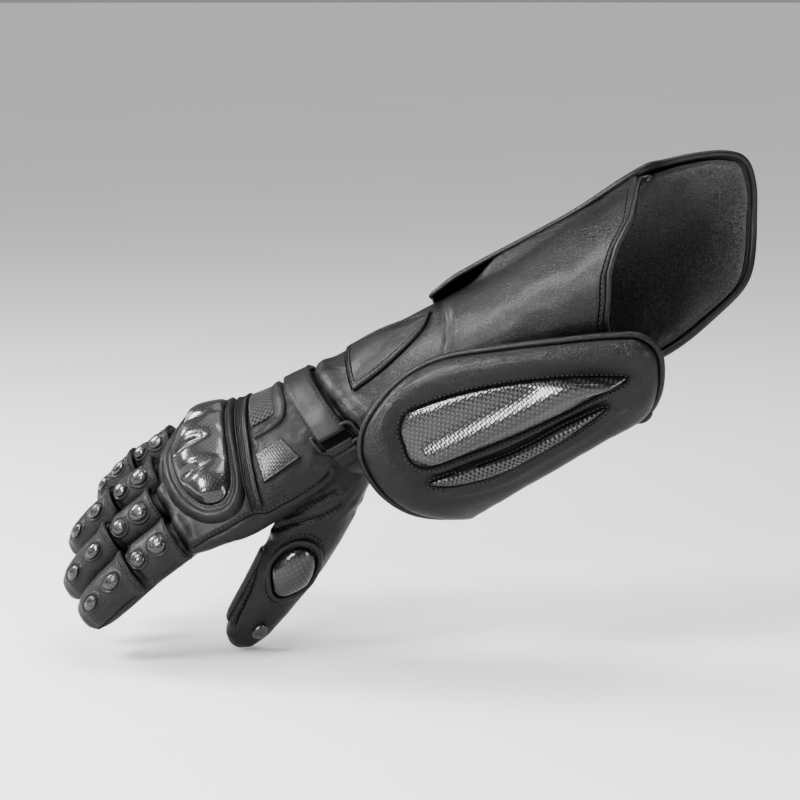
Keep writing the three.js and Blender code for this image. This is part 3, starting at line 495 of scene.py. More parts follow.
# Meshes
def grid_faces(nu, nv, wrap_u=False, wrap_v=False, flip=False, base=0):
    cells = np.arange(nu if wrap_u else nu - 1), np.arange(nv if wrap_v else nv - 1)
    i, j = np.meshgrid(*cells, indexing="ij")
    i2, j2 = (i + 1) % nu, (j + 1) % nv
    q = np.stack([i * nv + j, i2 * nv + j, i2 * nv + j2, i * nv + j2], -1).reshape(-1, 4) + base
    return q[:, ::-1] if flip else q


def make(name, points, faces, material, uv=None, nodes=(), slot=None, pad=None):
    """A piece from points in the glove frame."""
    mesh = bpy.data.meshes.new(name)
    places = to_world(points).reshape(-1, 3).tolist()
    mesh.from_pydata(places, [], [list(map(int, f)) for f in faces])
    mesh.validate()
    mesh.shade_smooth()
    if uv is not None:
        layer = mesh.uv_layers.new(name="plan")
        ids = np.zeros(len(mesh.loops), int)
        mesh.loops.foreach_get("vertex_index", ids)
        layer.data.foreach_set("uv", (np.asarray(uv, float).reshape(-1, 2)[ids] / 1000).ravel())
    obj = bpy.data.objects.new(name, mesh)
    bpy.context.scene.collection.objects.link(obj)
    return settle(obj, material, nodes, slot, pad)


def settle(obj, material, nodes=(), slot=None, pad=None):
    obj.data.materials.clear()
    obj.data.materials.append(material)
    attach(obj, "root")
    if nodes:
        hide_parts(*nodes)
    return obj


def sheet_mesh(outer, inner, wrap=False):
    """Points and faces of a closed sheet from two grids. wrap joins its first and last columns."""
    nu, nv = outer.shape[:2]
    points = np.concatenate([outer.reshape(-1, 3), inner.reshape(-1, 3)])
    base = nu * nv
    faces = [grid_faces(nu, nv, wrap_u=wrap), grid_faces(nu, nv, wrap_u=wrap, flip=True, base=base)]
    ids = np.arange(base).reshape(nu, nv)
    rims = [ids[:, 0], ids[::-1, -1]]
    if not wrap:
        rims += [ids[0, ::-1], ids[-1, :]]
    for rim in rims:
        a, b = (rim, np.roll(rim, -1)) if wrap else (rim[:-1], rim[1:])
        faces.append(np.stack([b, a, a + base, b + base], 1))
    return points, np.concatenate(faces)


def disk_mesh(outline, shares, surface, height, under=None):
    """A domed piece over an outline: rings that shrink to the middle, with a closed underside."""
    o = np.asarray(outline, float)
    mid, n = o.mean(0), len(o)
    share = np.asarray(shares, float)[:, None]
    u = o[None, :, 0] + (mid[0] - o[None, :, 0]) * share
    v = o[None, :, 1] + (mid[1] - o[None, :, 1]) * share
    full = np.broadcast_to(share, u.shape)
    top = surface(u, v, height(full, u, v)).reshape(-1, 3)
    rows = len(shares)
    points = [top, surface(mid[0], mid[1], height(np.array(1.0), mid[0], mid[1])).reshape(1, 3)]
    uv = [np.stack([u, v], -1).reshape(-1, 2), mid[None]]
    faces = [f for f in grid_faces(rows, n, wrap_v=True)]
    last = rows * n
    faces += [[(rows - 1) * n + k, last, (rows - 1) * n + (k + 1) % n] for k in range(n)]
    if under is not None:
        low = surface(o[:, 0], o[:, 1], np.full(n, float(under)))
        points += [low, surface(mid[0], mid[1], float(under)).reshape(1, 3)]
        uv += [o, mid[None]]
        faces += [[k, (k + 1) % n, last + 1 + (k + 1) % n, last + 1 + k] for k in range(n)]
        faces += [[last + 1 + k, last + 1 + (k + 1) % n, last + 1 + n] for k in range(n)]
    return np.concatenate(points), faces, np.concatenate(uv)


def tube_mesh(path, up, radius, sides=12, closed=False, high=1.0):
    """A cord along a path. high stretches its section upward; open ends are rounded."""
    path, up = np.asarray(path, float), np.asarray(up, float)
    n = len(path)
    if closed:
        d = np.roll(path, -1, 0) - np.roll(path, 1, 0)
    else:
        d = np.gradient(path, axis=0)
    d = unit(d)
    up = unit(up - d * (up * d).sum(1, keepdims=True))
    side = np.cross(d, up)
    r = np.broadcast_to(np.asarray(radius, float), (n,)).copy()
    centre = path.copy()
    if not closed:
        for at, k, shift in ((0, 0.05, -0.9), (1, 0.7, -0.35)):
            for row, way in ((at, 1), (n - 1 - at, -1)):
                centre[row] += d[row] * r[row] * shift * way * 0.3
                r[row] *= k
    a = circle(sides)
    ring = centre[:, None] + side[:, None] * (r[:, None] * np.cos(a))[..., None]
    ring = ring + up[:, None] * (high * r[:, None] * np.sin(a))[..., None]
    faces = [f for f in grid_faces(n, sides, wrap_u=closed, wrap_v=True, flip=True)]
    if not closed:
        faces += [list(range(sides))[::-1], [(n - 1) * sides + k for k in range(sides)]]
    return ring.reshape(-1, 3), faces


def joined(parts):
    """The points and faces of several meshes as one."""
    points, faces, base = [], [], 0
    for p, f in parts:
        points.append(p)
        faces += [[v + base for v in face] for face in f]
        base += len(p)
    return np.concatenate(points), faces


def stitch_mesh(rows, long=2.1, gap=1.1, thick=0.36):
    """Sewn stitches along rows, each row its points and the directions away from the surface."""
    shape = [(0.0, 0.35, -0.9), (0.16, 0.85, 0.15), (0.5, 1.0, 0.5), (0.84, 0.85, 0.15), (1.0, 0.35, -0.9)]
    sides = 6
    a = circle(sides)
    points, faces = [], []
    base = 0
    for line, up in rows:
        total = line_length(line)
        count = max(1, int(total // (long + gap)))
        s = running_length(line)
        pitch = total / count
        filled = long / (long + gap)
        for i in range(count):
            at = np.array([(i + (1 - filled) / 2 + k * filled) * pitch for k, _, _ in shape])
            p, n = read_rows(at, s, line), read_rows(at, s, up)
            d = p[-1] - p[0]
            d /= max(np.linalg.norm(d), 1e-9)
            n = unit(n - d * (n @ d)[:, None])
            side = np.cross(np.broadcast_to(d, n.shape), n)
            for q, (_, r, lift), m, w in zip(p, shape, n, side):
                c = q + m * thick * lift
                points.append(c + (w[None] * np.cos(a)[:, None] + m[None] * np.sin(a)[:, None]) * thick * r)
            f = grid_faces(len(shape), sides, wrap_v=True, flip=True, base=base)
            faces += f.tolist()
            base += len(shape) * sides
    return np.concatenate(points), faces


def hole_mesh(rows, pitch, radius):
    """Dark dots of painted shade at the needle holes between the stitches of a row."""
    points, faces = [], []
    a = circle(7)
    for line, up in rows:
        total = line_length(line)
        count = max(1, int(total // pitch))
        at, s = np.arange(count + 1) * total / count, running_length(line)
        p, n, d = (read_rows(at, s, rows) for rows in (line, up, np.gradient(line, axis=0)))
        d = unit(d)
        n = unit(n - d * (n * d).sum(1, keepdims=True))
        side = np.cross(d, n)
        for c, m, w, k in zip(p, n, side, d):
            base = len(points) * 9
            loop = w[None] * np.cos(a)[:, None] + 1.15 * k[None] * np.sin(a)[:, None]
            ring = c - m * 0.1 + radius * loop
            points.append(np.vstack([ring, c + m * 0.34, c - m * 0.5]))
            faces += [[base + i, base + (i + 1) % 7, base + 7] for i in range(7)]
            faces += [[base + (i + 1) % 7, base + i, base + 8] for i in range(7)]
    return np.concatenate(points), faces


def sheet(name, surface, a, b, top, under, look, uv=None, flip=False, wrap=False, **says):
    """A piece between two heights over a grid of places on a surface."""
    grids = surface(a, b, top), surface(a, b, under + 0 * top)
    if flip:
        grids = [g[::-1] for g in grids]
    points, faces = sheet_mesh(*grids, wrap=wrap)
    if uv is not None:
        uv = np.concatenate([uv, uv])
    return make(name, points, faces, LOOKS[look], uv, **says)


def cord(name, path, up, radius, sides, look, closed=False, high=1.0, **says):
    """A piece that is one cord."""
    points, faces = tube_mesh(path, up, radius, sides, closed, high)
    return make(name, points, faces, LOOKS[look], **says)


def cords(name, lines, radius, sides, look):
    """A piece of several cords."""
    points, faces = joined([tube_mesh(line, up, radius, sides) for line, up in lines])
    return make(name, points, faces, LOOKS[look], slot="leather")


def row_on(surface, a, b, height):
    """A row of stitches on a surface: its points and the way up from it."""
    p = surface(a, b, height)
    return p, surface(a, b, np.asarray(height) + 1) - p


def ring_row(surface, line, height):
    """A row of stitches along a closed line on a surface."""
    return row_on(surface, *np.vstack([line, line[:1]]).T, height)


# Materials
class Paint:
    """A node material. Values that are the same all over sit on the shader's own sockets."""

    def __init__(self, name, **values):
        self.material = bpy.data.materials.new(name)
        self.material.use_nodes = True
        self.tree = self.material.node_tree
        self.shader = self.tree.nodes["Principled BSDF"]
        for key, value in values.items():
            self.shader.inputs[key.replace("_", " ")].default_value = value
        self.place = self.node("ShaderNodeTexCoord").outputs["Object"]
        self.normal = None

    def node(self, kind, inputs=None, **settings):
        n = self.tree.nodes.new(kind)
        for key, value in settings.items():
            setattr(n, key, value)
        for key, value in (inputs or {}).items():
            if isinstance(value, bpy.types.NodeSocket):
                self.tree.links.new(value, n.inputs[key])
            else:
                n.inputs[key].default_value = value
        return n

    def plan(self):
        return self.node("ShaderNodeUVMap", uv_map="plan").outputs["UV"]

    def math(self, how, a, b=0.0, c=0.0):
        return self.node("ShaderNodeMath", {0: a, 1: b, 2: c}, operation=how).outputs[0]

    def total(self, *shares):
        """The sum of values, each given with its weight."""
        value = None
        for part, weight in shares:
            part = part if weight == 1 else self.math("MULTIPLY", part, weight)
            value = part if value is None else self.math("ADD", value, part)
        return value

    def stretch(self, scale, rot=(0, 0, 0), source=None):
        inputs = {"Vector": source or self.place, "Scale": scale, "Rotation": rot}
        return self.node("ShaderNodeMapping", inputs).outputs[0]

    def noise(self, scale, detail=2.0, rough=0.5, source=None):
        inputs = {"Vector": source or self.place, "Scale": scale, "Detail": detail, "Roughness": rough}
        return self.node("ShaderNodeTexNoise", inputs).outputs["Fac"]

    def cells(self, scale, feature="F1", source=None):
        inputs = {"Vector": source or self.place, "Scale": scale}
        return self.node("ShaderNodeTexVoronoi", inputs, feature=feature).outputs["Distance"]

    def span(self, value, low, high, to_low, to_high):
        inputs = {"Value": value, "From Min": low, "From Max": high, "To Min": to_low, "To Max": to_high}
        return self.node("ShaderNodeMapRange", inputs).outputs["Result"]

    def mix(self, factor, a, b):
        n = self.node("ShaderNodeMix", {"Factor": factor}, data_type="RGBA")
        for socket, value in ((n.inputs[6], a), (n.inputs[7], b)):
            if isinstance(value, bpy.types.NodeSocket):
                self.tree.links.new(value, socket)
            else:
                socket.default_value = (*value, 1)
        return n.outputs[2]

    def bump(self, height, distance, strength=1.0):
        inputs = {"Height": height, "Distance": distance, "Strength": strength}
        if self.normal is not None:
            inputs["Normal"] = self.normal
        self.normal = self.node("ShaderNodeBump", inputs).outputs["Normal"]

    def use(self, **sockets):
        for key, value in sockets.items():
            self.tree.links.new(value, self.shader.inputs[key.replace("_", " ")])

    def done(self):
        if self.normal is not None:
            self.use(Normal=self.normal)
        return self.material


def leather(name, tone, rough, grain=1.0, depth=1.0):
    """Soft grained leather: small cells, pores, slow colour change and rubbed places."""
    p = Paint(name, Roughness=rough, Coat_Weight=0.1, Coat_Roughness=0.28, Coat_IOR=1.4,
              Specular_IOR_Level=0.3)
    broad = p.noise(24, 3, 0.55)
    fine = p.noise(320, 3, 0.6)
    dark = (tone * 0.62, tone * 0.62, tone * 0.62 * 1.1)
    lit = (tone * 1.45, tone * 1.45, tone * 1.45 * 1.1)
    p.use(Base_Color=p.mix(p.span(p.total((broad, 1), (fine, 0.35)), 0.45, 0.9, 0, 1), dark, lit))
    rubbed = p.total((broad, 1), (fine, 0.6))
    p.use(Roughness=p.span(rubbed, 0.5, 1.1, rough - 0.05, rough + 0.09))
    cloud = p.node("ShaderNodeTexNoise", {"Vector": p.place, "Scale": 500.0, "Detail": 1.0})
    cloud = {0: cloud.outputs["Color"], "Scale": 0.0007}
    wander = p.node("ShaderNodeVectorMath", cloud, operation="SCALE").outputs[0]
    wander = p.node("ShaderNodeVectorMath", {0: p.place, 1: wander}, operation="ADD").outputs[0]
    cell = p.cells(1150 / grain, "DISTANCE_TO_EDGE", wander)
    p.bump(p.noise(150, 3, 0.5), 0.0002 * depth)
    p.bump(p.noise(650 / grain, 3, 0.7), 0.00017 * depth)
    p.bump(p.span(cell, 0.0, 0.2, 0, 1), 0.00009 * depth * grain)
    return p.done()


def carbon_weave(name, cell, light, relief=1.0, gloss=0.1, ripple=1.0):
    """Woven fibre under clear gloss: cells whose fibres run two ways. The weave is the fibre's own; its lighter
    tow crowns, lighter one way than the other, are painted sheen.
    """
    p = Paint(name, Roughness=0.34, Coat_Weight=1.0, Coat_Roughness=gloss, Coat_IOR=1.46,
              Specular_IOR_Level=0.25)
    uv = p.stretch((1000 / cell, 1000 / cell, 1), (0, 0, math.radians(12)), p.plan())
    x, y, _ = (p.node("ShaderNodeSeparateXYZ", {0: uv}).outputs[k] for k in range(3))
    cell_sum = p.math("ADD", p.math("FLOOR", x), p.math("FLOOR", y))
    parity = p.math("ABSOLUTE", p.math("MODULO", cell_sum, 2.0))
    across = lambda v: p.math("ABSOLUTE", p.math("SINE", p.math("MULTIPLY", v, math.pi)))
    blend = lambda inputs: p.node("ShaderNodeMix", inputs, data_type="FLOAT").outputs[0]
    either = lambda a, b: blend({"Factor": parity, "A": a, "B": b})
    height = p.total((either(across(x), across(y)), 0.8), (either(across(y), across(x)), 0.2))
    fibre = either(p.noise(1.0, 2, 0.6, p.stretch((14, 1.2, 1), source=uv)),
                   p.noise(1.0, 2, 0.6, p.stretch((1.2, 14, 1), source=uv)))
    # Painted sheen: the weave's tow crowns are coloured lighter, more so in one direction, in place of the
    # fibre's reflection.
    shade = p.math("MULTIPLY", height, p.math("ADD", p.math("MULTIPLY", parity, 0.6), 0.4))
    shade = p.math("ADD", shade, p.math("MULTIPLY", p.math("SUBTRACT", fibre, 0.5), 0.3))
    pale = (light, light * 0.95, light * 0.93)
    p.use(Base_Color=p.mix(p.span(shade, 0.15, 0.95, 0, 1), (0.0014,) * 3, pale))
    p.use(Roughness=p.span(fibre, 0.2, 0.8, 0.26, 0.44))
    p.bump(p.noise(70, 2, 0.5), 0.0002)
    p.bump(height, 0.00002 * ripple)
    p.use(Coat_Normal=p.normal)
    p.bump(height, 0.00012 * relief)
    return p.done()


def knit_cloth(name, tone, cell, rough=0.5):
    """Open warp knit: small holes in staggered rows, painted near black as shade."""
    p = Paint(name, Roughness=0.7, Sheen_Weight=0.1, Sheen_Roughness=0.4)
    uv = p.stretch((1000 / cell, 1000 / cell, 1), (0, 0, math.radians(45)), p.plan())
    x, y, _ = (p.node("ShaderNodeSeparateXYZ", {0: uv}).outputs[k] for k in range(3))
    wave = lambda v: p.math("SINE", p.math("MULTIPLY", v, 2 * math.pi))
    grid = p.math("ADD", wave(x), wave(y))
    open_ = p.span(grid, -0.9, 0.35, 0, 1)
    fuzz = p.noise(900, 3, 0.7)
    # The holes are painted near black: painted shade in them, the yarn keeps its own tone.
    p.use(Base_Color=p.mix(open_, (tone * 0.05,) * 3, (tone * 1.5, tone * 1.5, tone * 1.6)))
    p.use(Roughness=p.span(open_, 0, 1, 0.95, rough))
    p.bump(open_, 0.00022 * cell / 2)
    p.bump(fuzz, 0.00012)
    return p.done()


def fleece_cloth(name, tone):
    """Short dark pile, brushed one way."""
    p = Paint(name, Roughness=0.95, Sheen_Weight=0.5, Sheen_Roughness=0.5, Specular_IOR_Level=0.15)
    tuft = p.noise(1.0, 4, 0.8, p.stretch((520, 700, 800)))
    fuzz = p.noise(1300, 3, 0.8)
    broad = p.noise(60, 3, 0.6)
    shade = p.total((tuft, 0.5), (fuzz, 0.6), (broad, 0.4))
    lit = (tone * 4.2, tone * 4.0, tone * 4.3)
    p.use(Base_Color=p.mix(p.span(shade, 0.6, 0.95, 0, 1), (tone * 0.12,) * 3, lit))
    p.bump(tuft, 0.0013)
    p.bump(fuzz, 0.0008)
    return p.done()


def seam_shadow(name):
    """Painted shade: the dark matt depth of a sewn seam, a needle hole or the strap's slot."""
    p = Paint(name, Roughness=0.9, Specular_IOR_Level=0.1)
    p.use(Base_Color=p.mix(p.noise(900, 2, 0.5), (0.0012,) * 3, (0.003,) * 3))
    p.bump(p.noise(1200, 2, 0.5), 0.0001)
    return p.done()


def thread_cord(name, tone):
    """Twisted waxed thread."""
    p = Paint(name, Roughness=0.36, Specular_IOR_Level=0.5, Sheen_Weight=0.1)
    inputs = {"Vector": p.place, "Scale": 900.0, "Distortion": 2.0, "Detail": 1.0}
    twist = p.node("ShaderNodeTexWave", inputs, wave_type="BANDS", bands_direction="DIAGONAL")
    twist = twist.outputs["Fac"]
    p.use(Base_Color=p.mix(twist, (tone * 0.5,) * 3, (tone * 1.3, tone * 1.3, tone * 1.4)))
    p.bump(twist, 0.0001)
    return p.done()


def pale_floor(name):
    p = Paint(name, Roughness=0.75, Specular_IOR_Level=0.3)
    p.use(Base_Color=p.mix(p.noise(3, 3, 0.5), (0.74, 0.74, 0.75), (0.78, 0.78, 0.785)))
    p.bump(p.noise(400, 3, 0.6), 0.0002)
    return p.done()


LOOKS = {
    "skin": leather("hand_leather", 0.0042, 0.37, 1.0, 1.0),
    "sleeve": leather("sleeve_leather", 0.005, 0.37, 1.25, 1.0),
    "pad": leather("padded_leather", 0.0045, 0.36, 1.15, 1.1),
    "strap": leather("strap_leather", 0.007, 0.36, 0.8, 0.7),
    "trim": leather("piping_leather", 0.004, 0.35, 0.8, 0.8),
    "carbon": carbon_weave("carbon_weave", 1.7, 0.034, 1.0, 0.14, 2.4),
    "knuckle": carbon_weave("carbon_weave_knuckle", 1.5, 0.028, 0.8, 0.13, 0.9),
    "small_carbon": carbon_weave("carbon_weave_small", 1.3, 0.035, 1.0, 0.11, 1.5),
    "thumb_carbon": carbon_weave("carbon_weave_thumb", 1.5, 0.022, 1.0, 0.12, 2.2),
    "net": knit_cloth("carbon_net", 0.025, 2.0, 0.22),
    "knit": knit_cloth("knit_mesh", 0.006, 2.3),
    "fine_knit": knit_cloth("knit_fine", 0.016, 1.5),
    "fleece": fleece_cloth("fleece_pile", 0.004),
    "fibre": fleece_cloth("fleece_fibre", 0.055),
    "thread": thread_cord("sewing_thread", 0.018),
    "seam": seam_shadow("seam_shadow"),
    "vent": carbon_weave("vent_weave", 1.5, 0.03, 1.6, 0.34, 5.0),
}


# Leather hand
def loft_mesh(rings):
    """Points and faces of a closed form through a row of rings."""
    n = rings.shape[1]
    points = np.concatenate([rings.reshape(-1, 3), rings[0].mean(0)[None], rings[-1].mean(0)[None]])
    faces = [list(f) for f in grid_faces(len(rings), n, wrap_v=True)]
    first, last = len(points) - 2, len(points) - 1
    faces += [[first, (k + 1) % n, k] for k in range(n)]
    faces += [[last, (len(rings) - 1) * n + k, (len(rings) - 1) * n + (k + 1) % n] for k in range(n)]
    return points, faces


HAND_VOXEL = 0.00108


def hand_leather():
    """Palm, back, finger stalls and thumb as one skin."""
    deg = np.linspace(0, 360, 96, endpoint=False)
    xs = np.concatenate([np.linspace(24, -112.5, 80), [-114.5, -116]])
    shrink = np.concatenate([np.zeros(80), [-2.0, -5.5]])
    rings = []
    for x, s in zip(xs, shrink):
        on_table = np.clip(x, HAND_ROWS["x"][-1], HAND_ROWS["x"][0])
        rings.append(hand_point(on_table, deg, s) + (HAND_TURN @ [x - on_table, 0, 0]))
    parts = [loft_mesh(np.stack(rings))]
    along = np.concatenate([np.linspace(0, 0.96, 60), [0.975, 0.99, 1.0]])
    for f in FINGERS.values():
        rings = [finger_point(f, t, deg[::2], 0) for t in along]
        tip = rings[-1].mean(0)
        rings.append(tip + (rings[-1] - tip) * 0.5 + (rings[-1].mean(0) - rings[-3].mean(0)) * 0.45)
        parts.append(loft_mesh(np.stack(rings)))
    rings = [thumb_point(t, deg[::2], 0) for t in np.linspace(0.0, 1, 60)]
    tip = rings[-1].mean(0)
    rings.append(tip + (rings[-1] - tip) * 0.5 + (rings[-1].mean(0) - rings[-3].mean(0)) * 0.3)
    parts.append(loft_mesh(np.stack(rings)))
    points, faces = joined(parts)
    mesh = bpy.data.meshes.new("hand_leather")
    mesh.from_pydata(to_world(points).tolist(), [], faces)
    obj = bpy.data.objects.new("hand_leather", mesh)
    bpy.context.scene.collection.objects.link(obj)
    grid = obj.modifiers.new("grid", "REMESH")
    grid.mode = "VOXEL"
    grid.voxel_size = HAND_VOXEL
    soft = obj.modifiers.new("soft", "SMOOTH")
    soft.factor = 0.5
    soft.iterations = 7
    shape = bpy.data.meshes.new_from_object(obj.evaluated_get(bpy.context.evaluated_depsgraph_get()))
    obj.modifiers.clear()
    obj.data = shape
    return obj


def apply_points(obj, p):
    obj.data.vertices.foreach_set("co", to_world(p).astype(np.float32).ravel())
    obj.data.update()


def vertex_rows(mesh, what):
    rows = np.zeros(len(mesh.vertices) * 3, np.float32)
    mesh.vertices.foreach_get(what, rows)
    return rows.reshape(-1, 3)


def read_points(obj):
    normal = vertex_rows(obj.data, "normal").astype(float)
    return from_world(vertex_rows(obj.data, "co")), normal @ GLOVE_TURN


def drop_points(obj, gone):
    """Removes the marked points and the faces on them."""
    mesh = obj.data
    keep = ~gone
    order = np.cumsum(keep) - 1
    faces = [[int(order[v]) for v in f.vertices] for f in mesh.polygons if all(keep[v] for v in f.vertices)]
    new = bpy.data.meshes.new(mesh.name)
    new.from_pydata(vertex_rows(mesh, "co")[keep].tolist(), [], faces)
    obj.data = new


SEAM_BACK = spline([
    (-99.4, -61.8, 26.3), (-87.6, -61.4, 27.5), (-77, -60.5, 26.8), (-66.3, -58.5, 26), (-58.6, -56.5, 23.8),
    (-53, -56.1, 19.3), (-46.7, -52.2, 17.2), (-39.4, -51.0, 14.8), (-31, -48.3, 11.8), (-22.1, -44.7, 9.6),
    (-14, -41.5, 9)], 120)
SEAM_THUMB = spline([
    (-66, -41, -14), (-57.6, -42.2, -9.6), (-48.6, -43.7, -5.9), (-36.6, -45, -4), (-27.8, -45.3, -3.7),
    (-18, -43.6, -5.4)], 80)
SEAM_GUSSET = spline([
    (-64, -45, -12), (-55.3, -47.7, -9.6), (-46, -50.1, -9.1), (-35.7, -51.2, -10.3), (-28.6, -50.5, -11.9),
    (-20, -47.9, -13.2)], 80)
SEAM_KNIT = spline([
    (-77.7, -49.4, -18.6), (-86, -58.1, -24.9), (-95.1, -65.4, -30), (-106.9, -72, -35.8),
    (-112.6, -75.3, -40.5)], 80)
SEAMS = (SEAM_BACK, SEAM_THUMB, SEAM_GUSSET, SEAM_KNIT)


def cap_rear(which, deg):
    """Where a cap's rear edge crosses the finger: a shallow point over the finger, forward at its sides."""
    e = np.abs(np.asarray(deg, float) - 90) / CAP_HALF
    return CAPS[which]["rear"] + (0.012 if which == "lower" else 0.018) * e ** 2


hand = hand_leather()
points, normals = read_points(hand)
lift = 0.3 * waves(points, 17, 3.1) + 0.14 * waves(points, 7, 9.4)
for seam in SEAMS:
    d = away(points, seam)
    lift += 0.75 * hump(d, 2.8, 1.9) - 1.2 * hump(d, 0, 1.0)
for f in FINGERS.values():
    for side in (-14, 194):
        line = finger_point(f, np.linspace(0.26, 0.94, 60), np.full(60, side), 0)
        d = away(points, line)
        lift += 0.4 * hump(d, 2.2, 1.5) - 0.9 * hump(d, 0, 0.9)
    # The leather sinks behind each cap and swells again in front of the knuckle guard.
    for which, deep, swell in (("lower", 2.0, 1.3), ("upper", 0.8, 0.0)):
        arc = np.linspace(12, 168, 60)
        behind = finger_point(f, cap_rear(which, arc) - 0.012, arc, 0)
        d = away(points, behind)
        lift -= deep * hump(d, 0, 1.5)
        if swell:
            behind = finger_point(f, cap_rear(which, arc[14:-14]) - 0.07, arc[14:-14], 0)
            lift += swell * hump(away(points, behind), 0, 2.6)
# Fine folds fan out of the crook of the thumb.
fan = points @ rotation("z", 30)
crook_line = spline([(-70, -40, -18), (-50, -46, -9), (-26, -46, -8)], 30)
crook = hump(away(points, crook_line), 0, 15)
lift += crook * 0.45 * np.abs(waves(fan, (5.0, 16, 16), 5.0)) - crook * 0.15
# Leather between the strap and the soft windows stands proud of them, up to the fold.
flat = points @ HAND_TURN
fold_line = spline(RIDGE_LINE, 80)
d = away(flat[:, :2], fold_line)
fold_across = [-10.5, -9.5, -7.5, -2, 8, 18, 30]
fold_along = [-60, -42, -34.5, -31, -29.2, -29.2, -29.5]
inside = flat[:, 0] < np.interp(flat[:, 1], fold_across, fold_along)
proud = ease(18 - d, 0, 14) * ~inside * ease(flat[:, 2], 4, 10)
proud = proud * ease(flat[:, 0], -56, -50) * ease(-flat[:, 0], -14, 8)
lift += 1.3 * proud
# Small creases where the hand meets the strap.
wrist = hump(points[:, 0], -16, 9)
lift += wrist * 0.7 * waves(points, (16, 5, 5), 11.0)
points = points + normals * lift[:, None]
apply_points(hand, points)
deg_at = np.degrees(np.arctan2(points[:, 2], points[:, 1]))
drop_points(hand, points[:, 0] > strap_middle(deg_at) + 5)
hand.data.shade_smooth()
settle(hand, LOOKS["skin"], ["hand_shell", "thumb_stall"] + [k + "_stall" for k in FINGERS], "leather")

hand_points, hand_normals = read_points(hand)
finder = kdtree.KDTree(len(hand_points))
for i, p in enumerate(hand_points):
    finder.insert(p, i)
finder.balance()


def on_hand(line, off=0.0, height=0.0):
    """A line laid on the hand's leather, moved sideways and up from it. Returns points and the way up."""
    d = unit(np.gradient(line, axis=0))
    soft = np.ones(9) / 9
    ease_row = lambda row: np.convolve(np.pad(row, 4, "edge"), soft, "valid")
    smooth = lambda rows: np.stack([ease_row(rows[:, k]) for k in range(3)], 1)
    for _ in range(2):
        ids = [finder.find(p)[1] for p in line]
        p, n = hand_points[ids], hand_normals[ids]
        p, n = smooth(p), unit(smooth(n))
        if off == 0:
            break
        side = np.cross(d, n)
        line, off = p + side * off, 0
    return p + n * height, n


# Dark cords sunk along the hand's and fingers' seams are painted shade in their grooves.
hand_seam_shade = [on_hand(seam, 0, -0.1) for seam in SEAMS]
for f in FINGERS.values():
    for side in (-14, 194):
        line = finger_point(f, np.linspace(0.28, 0.93, 70), np.full(70, side), 0)
        hand_seam_shade.append(on_hand(line, 0, -0.1))
cords("hand_seam_shade", hand_seam_shade, 0.42, 6, "seam")
hand_rows = []
for seam, off in ((SEAM_BACK, -2.2), (SEAM_THUMB, -1.9), (SEAM_THUMB, 1.9), (SEAM_GUSSET, -1.9),
                  (SEAM_GUSSET, 1.9), (SEAM_KNIT, 2.0)):
    hand_rows.append(on_hand(seam, off, 0.12))


# Finger caps and studs
def ellipse(u, v, half, other, count=48):
    a = circle(count)
    return np.stack([u + half * np.cos(a), v + other * np.sin(a)], 1)


def stud_surface(f, cap, at):
    floor = cap["thick"] + 0.7

    def surface(u, v, height):
        deg = 90 + np.degrees(np.asarray(v, float) / (f["deep"] + floor))
        return finger_point(f, at + np.asarray(u, float) / f["line"]["length"], deg, height)

    return surface


